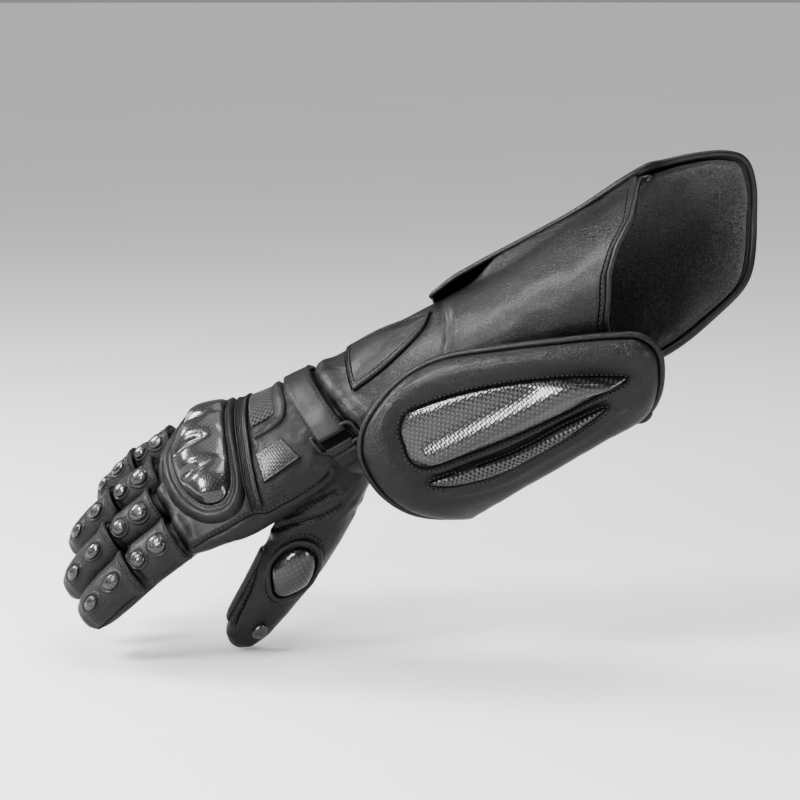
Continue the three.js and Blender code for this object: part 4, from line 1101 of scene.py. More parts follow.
def cap_shape(name, f, which, cap):
    u, v = ramps(78, 66)
    deg = CAP_LOW + (CAP_HIGH - CAP_LOW) * u + 0 * v
    edge = np.abs(deg - 90) / CAP_HALF
    length = f["line"]["length"]
    rear = cap_rear(which, deg)
    front = cap["front"] - 0.02 * edge ** 3
    along = rear + (front - rear) * v
    from_rear = (along - rear) * length
    from_front = (front - along) * length
    arc = (f["deep"] + 3) * np.radians(np.minimum(deg - CAP_LOW, CAP_HIGH - deg))
    near = np.minimum(np.minimum(from_rear, from_front), arc)
    roll = np.clip(np.minimum(from_rear / 0.45, np.minimum(from_front, arc) / 0.8), 0, 1)
    full = cap["thick"] * (1 - 0.35 * edge ** 2)
    flap = cap["lift"] * (1 - ease(from_rear, 0, cap["reach"])) * (1 - 0.45 * edge ** 2)
    under = 1.5 * (1 - ease(from_front, 1.0, 7.5)) if which == "lower" else 0
    height = GAP + 0.5 + (full - 0.5) * rounded(roll) + flap - under
    # Sewn lines inside the rear and side edges press the leather down, and the middle swells.
    rows = [1.7] if which == "lower" else [1.6, 3.3]
    inner = np.minimum(from_rear, arc + 0.2)
    for row in rows:
        height = height - 0.4 * hump(inner, row, 0.5)
    height = height + 0.5 * ease(near, rows[-1] + 0.4, rows[-1] + 3.5) * (1 - 0.6 * edge ** 2)
    for kind, (on, at, long, wide, tall) in STUDS.items():
        if on != which:
            continue
        x = (along - at) * length
        y = np.radians(deg - 90) * (f["deep"] + cap["thick"] + 0.7)
        long, wide = long * 0.84, wide * 0.84
        r = np.sqrt((x / long) ** 2 + (y / wide) ** 2)
        out = (r - 1) * (long + wide) / 2
        height = height + 0.8 * hump(out, 1.3, 1.3) - 0.5 * hump(out, 0.35, 0.4)
        height = height - 0.5 * hump(out, 2.3, 0.4)
    base = finger_point(f, along, deg, 0)
    height = height + 0.14 * waves(base, 6, 2.0) * ease(near, 0, 3) + 0.06 * waves(base, 2.5, 7.0)
    inner_height = np.minimum(GAP * 0.4 + flap * 0.9, height - 0.3)
    surface = lambda t, a, h: finger_point(f, t, a, h)
    sheet(name.replace("_cap_", "_leather_"), surface, along, deg, height, inner_height, "pad",
          flip=True, nodes=[name], slot="padded_leather", pad=0.5)
    lines = []
    span = np.linspace(22, 158, 60)
    e = np.abs(span - 90) / CAP_HALF
    top = GAP + cap["thick"] * (1 - 0.35 * e ** 2)
    for row in rows:
        t = cap_rear(which, span) + row / length
        flap = cap["lift"] * (1 - ease(np.full(60, row), 0, cap["reach"])) * (1 - 0.45 * e ** 2)
        lines.append(row_on(surface, t, span, top + flap - 0.1))
    for a in (CAP_LOW + 10, CAP_HIGH - 10):
        t = np.linspace(cap["rear"] + 0.05, cap["front"] - 0.03, 50)
        ee = abs(a - 90) / CAP_HALF
        lines.append(row_on(surface, t, np.full(50, a), GAP + cap["thick"] * (1 - 0.35 * ee ** 2) + 0.05))
    return lines


def stud_shape(name, f, cap, at, long, wide, tall):
    surface = stud_surface(f, cap, at)
    floor = cap["thick"] + 0.7
    long, wide = long * 0.84, wide * 0.84

    def height(share, u, v):
        r = 1 - share
        dome = tall * 0.8 * np.sqrt(np.maximum(0, 1 - np.abs(r) ** 2.3))
        return floor - 0.9 + 0.9 * ease(share, 0, 0.07) + dome

    shares = np.concatenate([[0, 0.015, 0.04, 0.07, 0.11], np.linspace(0.16, 0.96, 14)])
    points, faces, uv = disk_mesh(ellipse(0, 0, long, wide, 48), shares, surface, height, floor - 0.6)
    piece = name.replace("_stud_", "_button_")
    make(piece, points, faces, LOOKS["small_carbon"], uv=uv, nodes=[name], slot="carbon")


sewn = []
for key, f in FINGERS.items():
    for which, cap in CAPS.items():
        sewn += cap_shape(f"{key}_cap_{which}", f, which, cap)
    for kind, (on, at, long, wide, tall) in STUDS.items():
        stud_shape(f"{key}_stud_{kind}", f, CAPS[on], at, long, wide, tall)

# Thumb armour
THUMB_PADS = {
    "thumb_guard": (0.355, 80, 13.9, 11.6, 4.7),
    "thumb_tip_stud": (0.665, 97, 7.5, 5.2, 2.4),
}


def leaf_oval(long, wide, count, point=0.0):
    """An oval that narrows to a soft point at its far end."""
    a = circle(count)
    u, v = long * np.cos(a), wide * np.sin(a)
    narrow = 1 - point * ease(-u / long, -0.1, 1.0) * (1 - 0.35 * ease(-u / long, 0.7, 1.0))
    return np.stack([u, v * narrow], 1)


def thumb_surface(at, mid):
    def surface(u, v, height):
        deg = mid + np.degrees(np.asarray(v, float) / 19)
        return thumb_point(at - np.asarray(u, float) / THUMB_LENGTH, deg, height)

    return surface


for name, (at, mid, long, wide, tall) in THUMB_PADS.items():
    def height(share, u, v):
        dome = tall * 1.2 * np.sqrt(np.maximum(0, 1 - np.abs(1 - share) ** 1.8))
        return 0.4 + 0.9 * ease(share, 0, 0.05) + dome

    shares = np.concatenate([[0, 0.015, 0.04, 0.07, 0.11], np.linspace(0.16, 0.96, 22)])
    outline = leaf_oval(long, wide, 96, 0.34 if name == "thumb_guard" else 0.1)
    points, faces, uv = disk_mesh(outline, shares, thumb_surface(at, mid), height, -0.8)
    make(name + "_shell", points, faces, LOOKS["thumb_carbon"], uv=uv, nodes=[name], slot="carbon")

at, mid, long, wide, _ = THUMB_PADS["thumb_guard"]
around = grown(leaf_oval(long, wide, 140, 0.34), 2.3)
surface = thumb_surface(at, mid)
seat = surface(around[:, 0], around[:, 1], 1.4)
up = surface(around[:, 0], around[:, 1], 8) - seat
ripple = 1.95 + 0.1 * np.sin(np.arange(140) * 2 * math.pi / 4)
cord("thumb_collar", seat, up, ripple, 16, "pad", True, nodes=["thumb_guard_collar"],
     slot="padded_leather", pad=0.6)
for out, high in ((1.3, 2.6), (5.2, 0.5)):
    hand_rows.append(ring_row(surface, grown(leaf_oval(long, wide, 140, 0.34), out), high))
u = np.linspace(-34, 6, 22)[:, None]
v = np.linspace(0.34, 0.74, 60)[None]
edge = np.minimum(np.minimum(u + 34, 6 - u) / 5, np.minimum(v - 0.34, 0.74 - v) / 0.02)
bulge = 1.6 * rounded(np.clip(edge, 0, 1))
uv = np.stack(np.broadcast_arrays(v * THUMB_LENGTH, u * 0.33), -1)[::-1].reshape(-1, 2)
sheet("thumb_knit", thumb_point, v, u, bulge, -1.0, "fine_knit", uv, flip=True,
      nodes=["thumb_knit_strip"], slot="knit")

# Knuckle guard, band and windows
base = spline(KNUCKLE_OUTLINE, 160, True)
rim = grown(base, -0.9)


def knuckle_rise(x, y):
    rise = np.zeros(np.shape(x))
    for kx, ky, tall, wide in KNUCKLES:
        along = (x - kx) / np.where(x > kx, 15, 8)
        rise = np.maximum(rise, tall * np.exp(-along ** 2 - np.abs((y - ky) / wide) ** 4))
    return rise


VALLEYS = [((-93, 20.5), (-72, 19.5), 1.4), ((-99, 2.5), (-74, 0.5), 1.2), ((-100, -15), (-84, -18), 1.1)]


def knuckle_height(share, x, y):
    dome = 5 * np.sqrt(np.maximum(0, 1 - np.abs(1 - share) ** 2.4))
    top = 2.2 + 0.6 * ease(share, 0, 0.03) + dome * 0.94 + knuckle_rise(x, y) * ease(share, 0, 0.12)
    p = np.stack(np.broadcast_arrays(x, y), -1)
    for a, b, deep in VALLEYS:
        line = spline([a, ((a[0] + b[0]) / 2, (a[1] + b[1]) / 2 + 1.2), b], 30)
        fade = ease(b[0] - p[..., 0], 0, 9)
        top = top - deep * fade * hump(away(p, line), 0, 1.15) * ease(share, 0.02, 0.12)
    return top


shares = np.concatenate([[0, 0.008, 0.02, 0.035, 0.055], np.linspace(0.08, 0.985, 46)])
points, faces, uv = disk_mesh(rim, shares, back_point, knuckle_height, 0.5)
make("knuckle_dome", points, faces, LOOKS["knuckle"], uv=uv, nodes=["knuckle_guard"], slot="carbon")
section = spline([(-1.1, 0.2), (-1.1, 1.8), (-0.8, 2.7), (0.0, 2.9), (1.0, 2.85), (1.6, 2.6), (2.3, 3.0),
                  (3.4, 3.9), (4.6, 4.0), (6.0, 3.2), (7.6, 1.6), (9.0, 0.0)], 26)
share = (base[:, 0] - base[:, 0].min()) / np.ptp(base[:, 0])
wider = 1 - 0.42 * ease(share, 0.6, 0.9)
ring = []
for out, high in section:
    out = out * (wider if out > 0 else 1)
    shift = grown(base, 1.0) - base
    place = base + shift * np.broadcast_to(out, len(base))[:, None]
    ring.append(back_point(*place.T, high))
ring = np.stack(ring, 1)
ring_noise = 0.15 * waves(ring, 5, 1.0)
centre = ring.mean(1, keepdims=True)
ring = centre + (ring - centre) * (1 + ring_noise[..., None] * 0.3)
faces = grid_faces(len(base), len(section), wrap_u=True, wrap_v=True)
make("knuckle_ring", ring.reshape(-1, 3), faces, LOOKS["pad"], nodes=["knuckle_surround"],
     slot="padded_leather", pad=0.6)
hand_rows.append(ring_row(back_point, grown(base, 0.3), 2.9))

deg = np.linspace(14, 158, 140)[:, None]
v = np.linspace(0, 1, 37)[None]
rib = 1.9 + 0.5 * hump(v, 0.08, 0.07) + 0.5 * hump(v, 0.9, 0.08)
for at, deep in ((0.2, 0.9), (0.33, 0.8), (0.46, 0.8), (0.59, 0.7)):
    rib = rib - deep * hump(v, at, 0.035)
rib = rib * np.sqrt(np.clip(np.minimum(v, 1 - v) / 0.06, 0.02, 1))
end = np.clip(np.minimum(deg - 14, 158 - deg) / 5, 0.0, 1)
x = -54.5 - 0.18 * (42 - 46 * np.cos(np.radians(deg))) + 8 * v
top = GAP + rib * (0.35 + 0.65 * end) + 0.12 * flat_noise(deg * 0.8, x, 4, 3, 2.0)
sheet("back_ribs", hand_point, x, deg, top, 0.2, "pad", nodes=["knuckle_band"], slot="padded_leather",
      pad=0.5)
line = np.linspace(18, 154, 90)
xs = -54.5 - 0.18 * (42 - 46 * np.cos(np.radians(line))) + 8 * 0.75
hand_rows.append(row_on(hand_point, xs, line, GAP + 1.85))

WINDOWS = {
    "mesh_window": (22, 88, (-46, -52), (-32.3, -35), 1.0, "knit", "knit", None),
    "vent_window": (110, 137, (-54.5, -56), (-37, -31), 1.2, "vent", "padded_leather", 0.4),
}
for name, (a, b, front, rear, thick, look, slot, pad) in WINDOWS.items():
    u, v = ramps(90, 46)
    deg = a + (b - a) * u
    front_x = front[0] + (front[1] - front[0]) * u
    rear_x = rear[0] + (rear[1] - rear[0]) * u
    x = front_x + (rear_x - front_x) * v
    sides, ends = np.minimum(u, 1 - u) * (b - a) * 0.62, np.minimum(v, 1 - v) * np.abs(rear_x - front_x)
    near = np.minimum(sides, ends)
    roll = np.clip(near / 1.2, 0, 1)
    top = 0.6 + thick * rounded(roll)
    if name == "vent_window":
        top = top - 0.3 * hump(near, 1.6, 0.4) + 1.6 * (16 * u * (1 - u) * v * (1 - v)) ** 0.6
    uv = np.stack(np.broadcast_arrays(x, deg * 0.7), -1).reshape(-1, 2)
    sheet(name + "_panel", hand_point, x, deg, top, 0.2, look, uv, nodes=[name], slot=slot, pad=pad)

line = spline(RIDGE_LINE, 70)
d = unit(np.gradient(line, axis=0))
off = np.linspace(-1, 1, 25)[None]
far = 2.4 + 5.2 * ease(line[:, :1], -50, -36)
reach = np.where(off < 0, far, 2.4)
px = line[:, :1] - d[:, 1:] * off * reach
py = line[:, 1:] + d[:, :1] * off * reach
bead = 0.3 + 2.7 * np.sqrt(np.maximum(0, 1 - 0.98 * off ** 2))
top = np.where(off > 0, bead, 3.0 - 2.4 * ease(-off, 0, 1))
top = top + 0.25 * flat_noise(px, py, 6, 6, 2.0) * (1 - np.abs(off))
sheet("window_fold", back_point, px, py, top, 0.1, "pad", nodes=["window_ridge"],
      slot="padded_leather", pad=0.5)

# Wrist strap
deg = np.linspace(0, 360, 200, endpoint=False)[:, None]
off = np.linspace(-1, 1, 25)[None]
roll = np.clip((1 - np.abs(off)) * STRAP_HALF / 1.4, 0, 1)
top = 1.3 + 1.5 * rounded(roll)
top = top - 0.3 * hump((1 - np.abs(off)) * STRAP_HALF, 1.5, 0.45) + 0.35 * (1 - off ** 2)
for size, wide, long, seed in ((0.2, 14, 12, 4.0), (0.08, 5, 5, 6.0)):
    top = top + size * flat_noise(deg * 0.6, off * 9, wide, long, seed)
top = top + 0.5 * ease(deg, 118, 135) * (1 - ease(deg, 136.0, 136.8))
top = np.where((deg > 136.2) & (deg < 175), np.minimum(top, 0.7), top)
sheet("wrist_band", strap_seat, off * STRAP_HALF, deg, top, 0.3, "strap", flip=True, wrap=True,
      nodes=["wrist_strap"], slot="leather")
strap_rows = []
for side in (-1, 1):
    line = np.linspace(-170, 134, 260)
    strap_rows.append(row_on(strap_seat, np.full(260, side * (STRAP_HALF - 1.5)), line, 2.82))

MM_PER_DEG = 0.65
corners = [(-13, 131), (-4, 131), (2, 131), (9, 131), (11, 134), (11, 140), (11, 146), (9, 149), (0, 149),
           (-9, 149), (-13, 146), (-13, 140), (-13, 134)]
loop = spline([(x + 2, d * MM_PER_DEG) for x, d in corners], 90, True)
off, deg = loop[:, 0], loop[:, 1] / MM_PER_DEG
sunk = 2.2 * (1 - ease(off, 3, 9)) * (1 - ease(-off, 7, 10) * (1 - ease(deg, 142, 146)))
path = strap_seat(off, deg, 2.9 - sunk)
up = strap_seat(off, deg, 8) - path
cord("keeper_loop", path, up, 1.15, 12, "strap", True, 0.8, nodes=["strap_keeper"], slot="leather")

# A dark sheet in the strap's slot is painted shade.
deg = np.linspace(136.5, 144.6, 16)[:, None]
off = np.linspace(-8.4, 8.2, 30)[None]
slot_shade_top = 0.95 + 0 * deg + 0 * off
sheet("strap_slot_shade", strap_seat, off, deg, slot_shade_top, slot_shade_top - 0.5, "seam", flip=True, slot="leather")

u, v = ramps(40, 40)
deg = 144.5 + 23 * u
off = -8.5 + 16.5 * v
near = np.minimum(np.minimum(u, 1 - u) * 23 * MM_PER_DEG, np.minimum(v, 1 - v) * 16.5)
roll = np.clip(near / 1.0, 0, 1)
top = 1.1 + 1.9 * rounded(roll) - 0.4 * hump(deg, 153.5, 1.1) + 0.5 * ease(deg, 154, 156)
sheet("end_tab", strap_seat, off, deg, top, 0.6, "skin", flip=True, nodes=["strap_tab"], slot="leather")
for a, b in (((153.5, -7.5), (153.5, 7)), ((147, -7.2), (166, -7.2)), ((147, 6.8), (166, 6.8))):
    line = np.linspace(0, 1, 30)
    strap_rows.append(row_on(strap_seat, a[1] + (b[1] - a[1]) * line, a[0] + (b[0] - a[0]) * line, 2.95))

# Sleeve
deg = np.linspace(-150, 210, 240, endpoint=False)[:, None]
t = np.linspace(0, 1, 130)[None]
end = mouth_x(deg)
lead = strap_middle(deg) + 1
x = lead + (end - lead) * t
from_end = end - x
roll = np.clip(from_end / 1.4, 0, 1)
height = np.where(from_end < 1.4, -1.2 + 1.2 * rounded(roll), 0.0)
height = height + 0.3 * (1 - ease(from_end, 3.4, 4.2)) - 0.45 * hump(from_end, 4.0, 0.4)
place = sleeve_point(x, deg, 0)
free = ease(from_end, 4, 30)
for size, swell, seed in ((0.7, (42, 26, 26), 2.0), (0.25, (15, 11, 11), 6.0)):
    height = height + size * waves(place, swell, seed) * free
# Tucked in behind the strap, with folds that run out from there and one soft crease further up.
back = x - (strap_middle(deg) + STRAP_HALF)
height = height + hand_rise(x, deg) * ease(-back, 0, 4)
height = height - 2.6 * hump(back, 0.5, 2.6) + 1.5 * hump(back, 8.5, 5.0)
fold = hump(np.maximum(back, 0), 0, 20)
height = height + fold * (1.0 * flat_noise(deg, x, 13, 60, 1.0) - 0.2)
line = spline([(80, 40), (83, 60), (84.6, 78), (84.2, 94), (81.5, 108), (77, 118), (71, 127)], 80)
unrolled = np.stack(np.broadcast_arrays(x, deg * MM_PER_DEG), -1)
across = away(unrolled, line * [1, MM_PER_DEG])
side = np.sign(x - np.interp(deg, line[:, 1], line[:, 0]))
ends = ease(deg, 42, 66) * (1 - ease(deg, 104, 126))
height = height - (1.4 * hump(across, 0, 2.3) + 0.5 * hump(across * side, -4.5, 4.0)) * ends
height = height + 0.5 * hump(across * side, 4.5, 4.0) * ease(deg, 45, 70) * (1 - ease(deg, 105, 126))
from_side = np.abs(deg - SHELL_SIDE)
to_shell = (shell_flare(x, SHELL_SIDE) + 1.6) * np.exp(-((from_side - 2) / 8) ** 2 * (from_side > 2))
height = height + to_shell * ease(x, 98, 125) * ease(deg, 30, SHELL_SIDE)
lip = 0.4 + to_shell * ease(deg, 30, SHELL_SIDE)
height = np.where(from_end < 1.4, np.minimum(height, lip), height)
under = np.minimum(-LEATHER + 0.3 * waves(place, (20, 14, 14), 4.0), height - 0.6)
sheet("sleeve_leather", sleeve_point, x, deg, height, under, "sleeve", flip=True, wrap=True,
      nodes=["forearm_sleeve"], slot="leather")
cuff_rows = []
line = np.linspace(50, 196, 200)
cuff_rows.append(row_on(sleeve_point, mouth_x(line) - 3.0, line, 0.2))
# Dark cords along the cuff's seams are painted shade in their grooves.
cuff_seam_shade = [row_on(sleeve_point, mouth_x(line) - 4.1, line, 0.0)]

line = np.linspace(48, 196, 150)
path = sleeve_point(mouth_x(line) + 1.2, line, -1.0)
cord("mouth_roll", path, path * [0, 1, 1], 1.5, 12, "strap", nodes=["sleeve_piping"], slot="leather")

bend = [(0.5, 51, 0.2), (3.5, 49.5, -0.4), (6.5, 51, -1.2), (7.0, 54.5, -2.0), (5.0, 56.5, -2.2)]
bend = spline(bend, 30)
path = sleeve_point(mouth_x(50) + bend[:, 0], bend[:, 1], bend[:, 2])
cord("mouth_loop", path, path * [0, 1, 1], 1.15, 10, "trim", slot="leather")

xs = np.linspace(18.5, 76.5, 90)[None]
u = np.linspace(0, 1, 56)[:, None]
low, high = LEAF["low"](xs), LEAF["high"](xs)
deg = low + (high - low) * u
near = np.minimum(np.minimum(u, 1 - u) * (high - low) * 0.62, np.minimum(xs - 18.5, 78 - xs))
roll = np.clip(near / 0.8, 0, 1)
top = 0.7 + 1.2 * rounded(roll) - 0.3 * hump(near, 1.2, 0.4) - 0.3 * hump(near, 3.0, 0.4)
top = top + 0.8 * ease(near, 3, 10) + 1.2 * hump(xs, 12, 6.0)
top = top + 0.25 * waves(sleeve_point(xs, deg, 0), (18, 14, 14), 8.0)
sheet("leaf_leather", sleeve_point, xs, deg, top, -0.4, "sleeve", flip=True, nodes=["leaf_patch"],
      slot="leather")
for inset in (1.2, 3.0):
    for key, side in (("low", 1), ("high", -1)):
        line = np.linspace(20, 73 - inset, 90)
        inner = LEAF[key](line) + side * inset / 0.62
        cuff_rows.append(row_on(sleeve_point, line, inner, 1.85))
    line = np.linspace(50, 100, 60)
    cuff_rows.append(row_on(sleeve_point, 18.2 + inset, line, 2.3))
for key, side in (("low", 1), ("high", -1)):
    line = np.linspace(18.5, 76, 90)
    cuff_seam_shade.append(row_on(sleeve_point, line, LEAF[key](line) - side * 0.5, 0.35))
line = np.linspace(44, 107, 60)
cuff_seam_shade.append(row_on(sleeve_point, 17.9, line, 0.9))

# Shell, lining and piping
u, t = ramps(170, 120)
deg = SHELL_SIDE + (SHELL_FAR - SHELL_SIDE) * u
start, end = SHELL["start"](deg), SHELL["end"](deg)
x = start + (end - start) * t
near = np.minimum(SHELL_SIDE - deg, deg - SHELL_FAR) * 0.7
near = np.minimum(near, np.minimum(x - start, end - x))
roll = np.clip(near / 1.6, 0, 1)
top = 2.4 + 1.5 * rounded(roll) - 0.4 * hump(near, 4.4, 0.55)
place = sleeve_point(x, deg, 0)
top = top + 0.35 * waves(place, (50, 30, 30), 12.0) * ease(near, 2, 20)
sheet("shell_leather", shell_point, x, deg, top, 0.9, "sleeve", nodes=["outer_shell"], slot="leather")
line = np.linspace(41, -137, 240)
cuff_rows.append(row_on(shell_point, SHELL["end"](line) - 4.4, line, 3.55))
line = np.linspace(80, 213, 140)
cuff_rows.append(row_on(shell_point, line, np.full(140, SHELL_SIDE - 4.4 / 0.7), 3.55))

u, t = ramps(130, 90)
deg = LINING_SIDE + (LINING_FAR - LINING_SIDE) * u
end = SHELL["end"](deg) - 3
x = LINING_START + (end - LINING_START) * t
place = sleeve_point(x, deg, 0)
pile = 0.3 * waves(place, 14, 1.0) + 0.16 * waves(place, 1.6, 5.0)
edge = np.minimum(LINING_SIDE - deg, deg - LINING_FAR) * 0.7
edge = np.clip(np.minimum(end - x, edge) / 3, 0, 1)
under = -0.4 - 2.3 * rounded(edge) + pile * edge
sheet("fleece_pile", sleeve_point, x, deg, 0.2 + 0 * pile, under, "fleece", nodes=["fleece_lining"],
      slot="fleece")

# Loose fibres stand out of the pile and lean over each other. Their colour, much lighter than the pile's, is
# painted sheen on the fuzz.
chance = np.random.default_rng(7)
count = 24000
deg = 26 - 160 * chance.random(count)
end = SHELL["end"](deg) - 4.5
x = 130 + (end - 130) * np.sqrt(chance.random(count))
root = sleeve_point(x, deg, np.full(count, -2.4))
inward = sleeve_point(x, deg, np.full(count, -3.4)) - root
lean = chance.normal(0, 1, (count, 3)) + [0.8, 0, -0.5]
tip = unit(inward * 0.6 + lean * 0.55)
wide = unit(np.cross(tip, chance.normal(0, 1, (count, 3))))
long = chance.uniform(1.8, 4.2, count)[:, None]
points = np.stack([root - wide * 0.17, root + wide * 0.17, root + tip * long], 1).reshape(-1, 3)
faces = np.arange(count * 3).reshape(-1, 3)
make("fleece_fibres", points, faces, LOOKS["fibre"], slot="fleece")

path = []
for x in np.linspace(76, 212, 70):
    path.append(shell_point(x, SHELL_SIDE + 1.8, 2.4))
for a in np.linspace(SHELL_SIDE, SHELL_FAR + 2, 220):
    path.append(shell_point(SHELL["end"](a) + 1.5, a, 2.4))
path = resample(np.array(path), 300)
for _ in range(36):
    path[1:-1] = 0.5 * path[1:-1] + 0.25 * (path[2:] + path[:-2])
up = path * [0, 1, 1]
share = np.linspace(0, 1, 300)
cord("shell_cord", path, up, 1.5 + 0.6 * ease(share, 0.22, 0.36), 14, "strap", nodes=["shell_piping"],
     slot="leather")

# Side guard
edge_line = guard_grown(spline(GUARD_OUTLINE, 220, True), -2.1)
guard_edge = spline(GUARD_OUTLINE, 300, True)
ridge_mid = spline([(44, 50.2), (72, 52.2), (97, 53), (125, 52.6), (152, 51.3)], 60)
ridge_low = spline([(40, 61), (55, 66), (74, 68.5), (107, 66.5), (136, 63.5), (156, 58)], 60)
insert_lines = {name: spline(row["outline"], 160, True) for name, row in INSERTS.items()}


def guard_height(share, u, v):
    p = np.stack(np.broadcast_arrays(u, v), -1)
    near = away(guard_flat(p), guard_flat(edge_line), True)
    roll = np.clip(near / 10.0, 0, 1)
    top = 0.9 + 6.6 * rounded(roll)
    sunk = np.zeros(np.shape(u), bool)
    for line in insert_lines.values():
        ring = away(p, line, True)
        sunk = sunk | within(p, line)
        top = top - 0.9 * hump(ring, 0.6, 0.8) - 4.2 * hump(ring, 0, 6.6)
    top = top + 1.5 * hump(away(p, ridge_mid), 0, 1.5) + 1.2 * hump(away(p, ridge_low), 0, 1.7)
    q = np.stack(np.broadcast_arrays(u, v, 0 * u), -1)
    top = top + 0.3 * waves(q, 15, 1.0) * ease(near, 1, 6) + 0.12 * waves(q, 5, 3.0)
    return np.where(sunk, np.minimum(top, 2.6), top)


shares = np.concatenate([[0], np.linspace(0.01, 0.985, 90)])
points, faces, uv = disk_mesh(edge_line, shares, guard_point, guard_height, -4)
make("guard_pad", points, faces, LOOKS["pad"], nodes=["side_guard"], slot="padded_leather", pad=0.6)
guard_rows = []
shares = np.concatenate([[0, 0.01, 0.03, 0.06, 0.1], np.linspace(0.15, 0.98, 26)])
for name, insert in INSERTS.items():
    crest_line = spline(insert["crest"], 50)

    def height(share, u, v):
        gap = away(np.stack(np.broadcast_arrays(u, v), -1), crest_line)
        above = v < np.interp(u, crest_line[:, 0], crest_line[:, 1])
        crest = hump(gap, 0, np.where(above, insert["above"], insert["below"]))
        crest = crest * ease(share, 0, insert["edge"])
        dome = np.sqrt(np.maximum(0, 1 - np.abs(1 - share) ** 3.0))
        return 2.8 + 0.8 * ease(share, 0, 0.04) + insert["tall"] * (0.28 * dome + crest)

    points, faces, uv = disk_mesh(grown(insert_lines[name], -0.2), shares, guard_point, height, 3.0)
    make(name + "_plate", points, faces, LOOKS[insert["look"]], uv=uv, nodes=[name], slot="carbon")
    guard_rows.append(ring_row(guard_point, grown(insert_lines[name], 1.7), 3.6))
rim = guard_grown(guard_edge, -0.55)
path = guard_point(rim[:, 0], rim[:, 1], 0.7)
up = guard_point(rim[:, 0], rim[:, 1], 2) - path
cord("guard_cord", path, up, 2.0, 16, "pad", True, nodes=["guard_piping"], slot="leather")
guard_rows.append(ring_row(guard_point, guard_grown(guard_edge, -4.3), 4.1))
tucks = []
for spots in ([(35, 79.3, 1.2), (38.5, 80.9, 1.9), (42, 81.9, 1.8), (45.5, 81.6, 1.0)],
              [(155.5, 72.4, 1.0), (159, 72.9, 1.7), (162.5, 72.2, 1.9), (166, 70.3, 1.2)]):
    spots = np.array(spots)
    at = np.linspace(0, 1, 24)
    x, across, high = (table(np.linspace(0, 1, 4), spots[:, k])(at) for k in range(3))
    tucks.append(row_on(guard_point, x, across, high))
cords("guard_tucks", tucks, 1.9, 14, "pad")
fold = guard_grown(guard_edge, 0.5)
fold = fold[(fold[:, 0] > 46) & (fold[:, 0] < 156) & (fold[:, 1] > 68)]
cords("guard_fold", [row_on(guard_point, *fold.T, -1.2)], 1.5, 10, "pad")
# Dark cords round the guard's edge and its inserts are painted shade in their seam grooves.
guard_seam_shade = [ring_row(guard_point, guard_grown(guard_edge, -2.75), 1.9)]
for line in insert_lines.values():
    guard_seam_shade.append(ring_row(guard_point, grown(line, 0.25), 3.15))
# Painted shade: dark cords in the cuff's and the guard's seam grooves.
cords("cuff_seam_shade", cuff_seam_shade, 0.4, 6, "seam")
cords("guard_seam_shade", guard_seam_shade, 0.4, 6, "seam")

# All sewn rows, each with the length, gap and thickness of its stitches.
for name, lines, size in (("hand", hand_rows, (1.7, 1.0, 0.3)), ("strap", strap_rows, (1.9, 1.1, 0.32)),
                          ("cuff", cuff_rows, (1.9, 1.1, 0.34)), ("guard", guard_rows, (1.7, 1.0, 0.34)),
                          ("finger", sewn, (1.5, 0.9, 0.27))):
    points, faces = stitch_mesh(lines, *size)
    make(name + "_stitches", points, faces, LOOKS["thread"], slot="leather")
    # The needle holes are dark dots of painted shade.
    points, faces = hole_mesh(lines, size[0] + size[1], 0.4 if name != "finger" else 0.36)
    make(name + "_needle_hole_shade", points, faces, LOOKS["seam"], slot="leather")

# Floor, light and camera
floor_z = CAD_BOX[0][2] - 0.001
a = circle(96)
ring = [(60 * math.cos(k), 60 * math.sin(k), floor_z) for k in a]
mesh = bpy.data.meshes.new("floor")
mesh.from_pydata([(0, 0, floor_z)] + ring, [], [[0, 1 + k, 1 + (k + 1) % 96] for k in range(96)])
floor = bpy.data.objects.new("floor", mesh)
bpy.context.scene.collection.objects.link(floor)
floor.data.materials.append(pale_floor("pale_floor"))

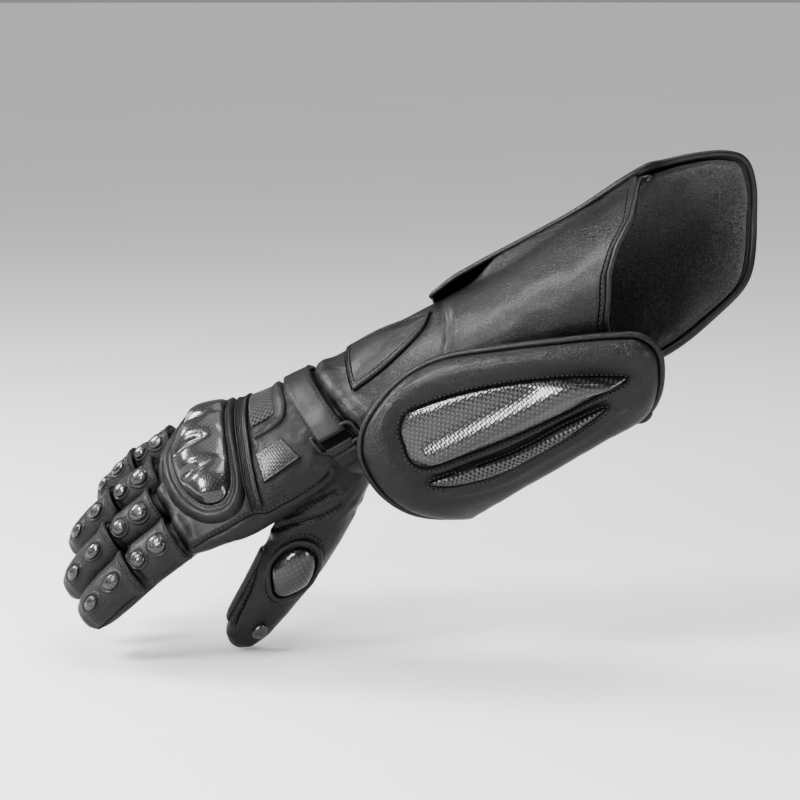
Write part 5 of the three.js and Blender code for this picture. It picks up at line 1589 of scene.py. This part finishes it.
world = bpy.data.worlds.new("studio")
bpy.context.scene.world = world
world.use_nodes = True
world.node_tree.nodes["Background"].inputs["Color"].default_value = (0.86, 0.87, 0.9, 1)
world.node_tree.nodes["Background"].inputs["Strength"].default_value = 0.3


def softbox(name, at, to, size, power):
    data = bpy.data.lights.new(name, "AREA")
    data.shape = "RECTANGLE"
    data.size, data.size_y = size
    data.energy = power
    lamp = bpy.data.objects.new(name, data)
    lamp.location = at
    lamp.rotation_euler = (Vector(at) - Vector(to)).to_track_quat("Z", "Y").to_euler()
    lamp.visible_camera = False
    bpy.context.scene.collection.objects.link(lamp)


# Each lamp: its name, its place, the point it faces, its width and height, its power.
for row in (("key", (-1.05, -0.9, 0.85), (-0.17, 0, -0.08), (0.45, 0.45), 32),
            ("left", (-1.35, 0.15, 0.55), (-0.2, 0, -0.08), (0.45, 0.45), 18),
            ("top", (0.05, 0.0, 1.4), (-0.12, 0, -0.05), (0.9, 0.5), 12),
            ("near", (-0.75, -1.33, 0.34), (-0.107, -0.046, -0.09), (0.42, 0.3), 16),
            ("side", (1.15, -0.85, 0.03), (-0.1, 0, -0.1), (0.45, 0.45), 10)):
    softbox(*row)
sky = bpy.data.lights.new("sky", "SUN")
sky.energy = 1.1
sky.angle = math.radians(60)
lamp = bpy.data.objects.new("sky", sky)
lamp.rotation_euler = (-0.25, 0.1, 0)
bpy.context.scene.collection.objects.link(lamp)

# The camera stands at the photograph's angle. Its target is a point in the glove frame.
CAMERA_DISTANCE = 1.4
LENS = 107.73
SENSOR = 36
back = Vector((0.199, -0.965, 0.170)).normalized()
up = Vector((-0.034, 0.166, 0.984))
up = (up - back * up.dot(back)).normalized()
right = up.cross(back)
target = Vector(to_world([30.95, 1.03, -9.75]))
data = bpy.data.cameras.new("camera")
data.lens = LENS
data.sensor_width = SENSOR
data.clip_end = 200
camera = bpy.data.objects.new("camera", data)
camera_turn = Matrix((right, up, back)).transposed().to_4x4()
camera.matrix_world = Matrix.Translation(target + back * CAMERA_DISTANCE) @ camera_turn
bpy.context.scene.collection.objects.link(camera)
bpy.context.scene.camera = camera
bpy.context.scene.view_settings.look = "AgX - Medium High Contrast"
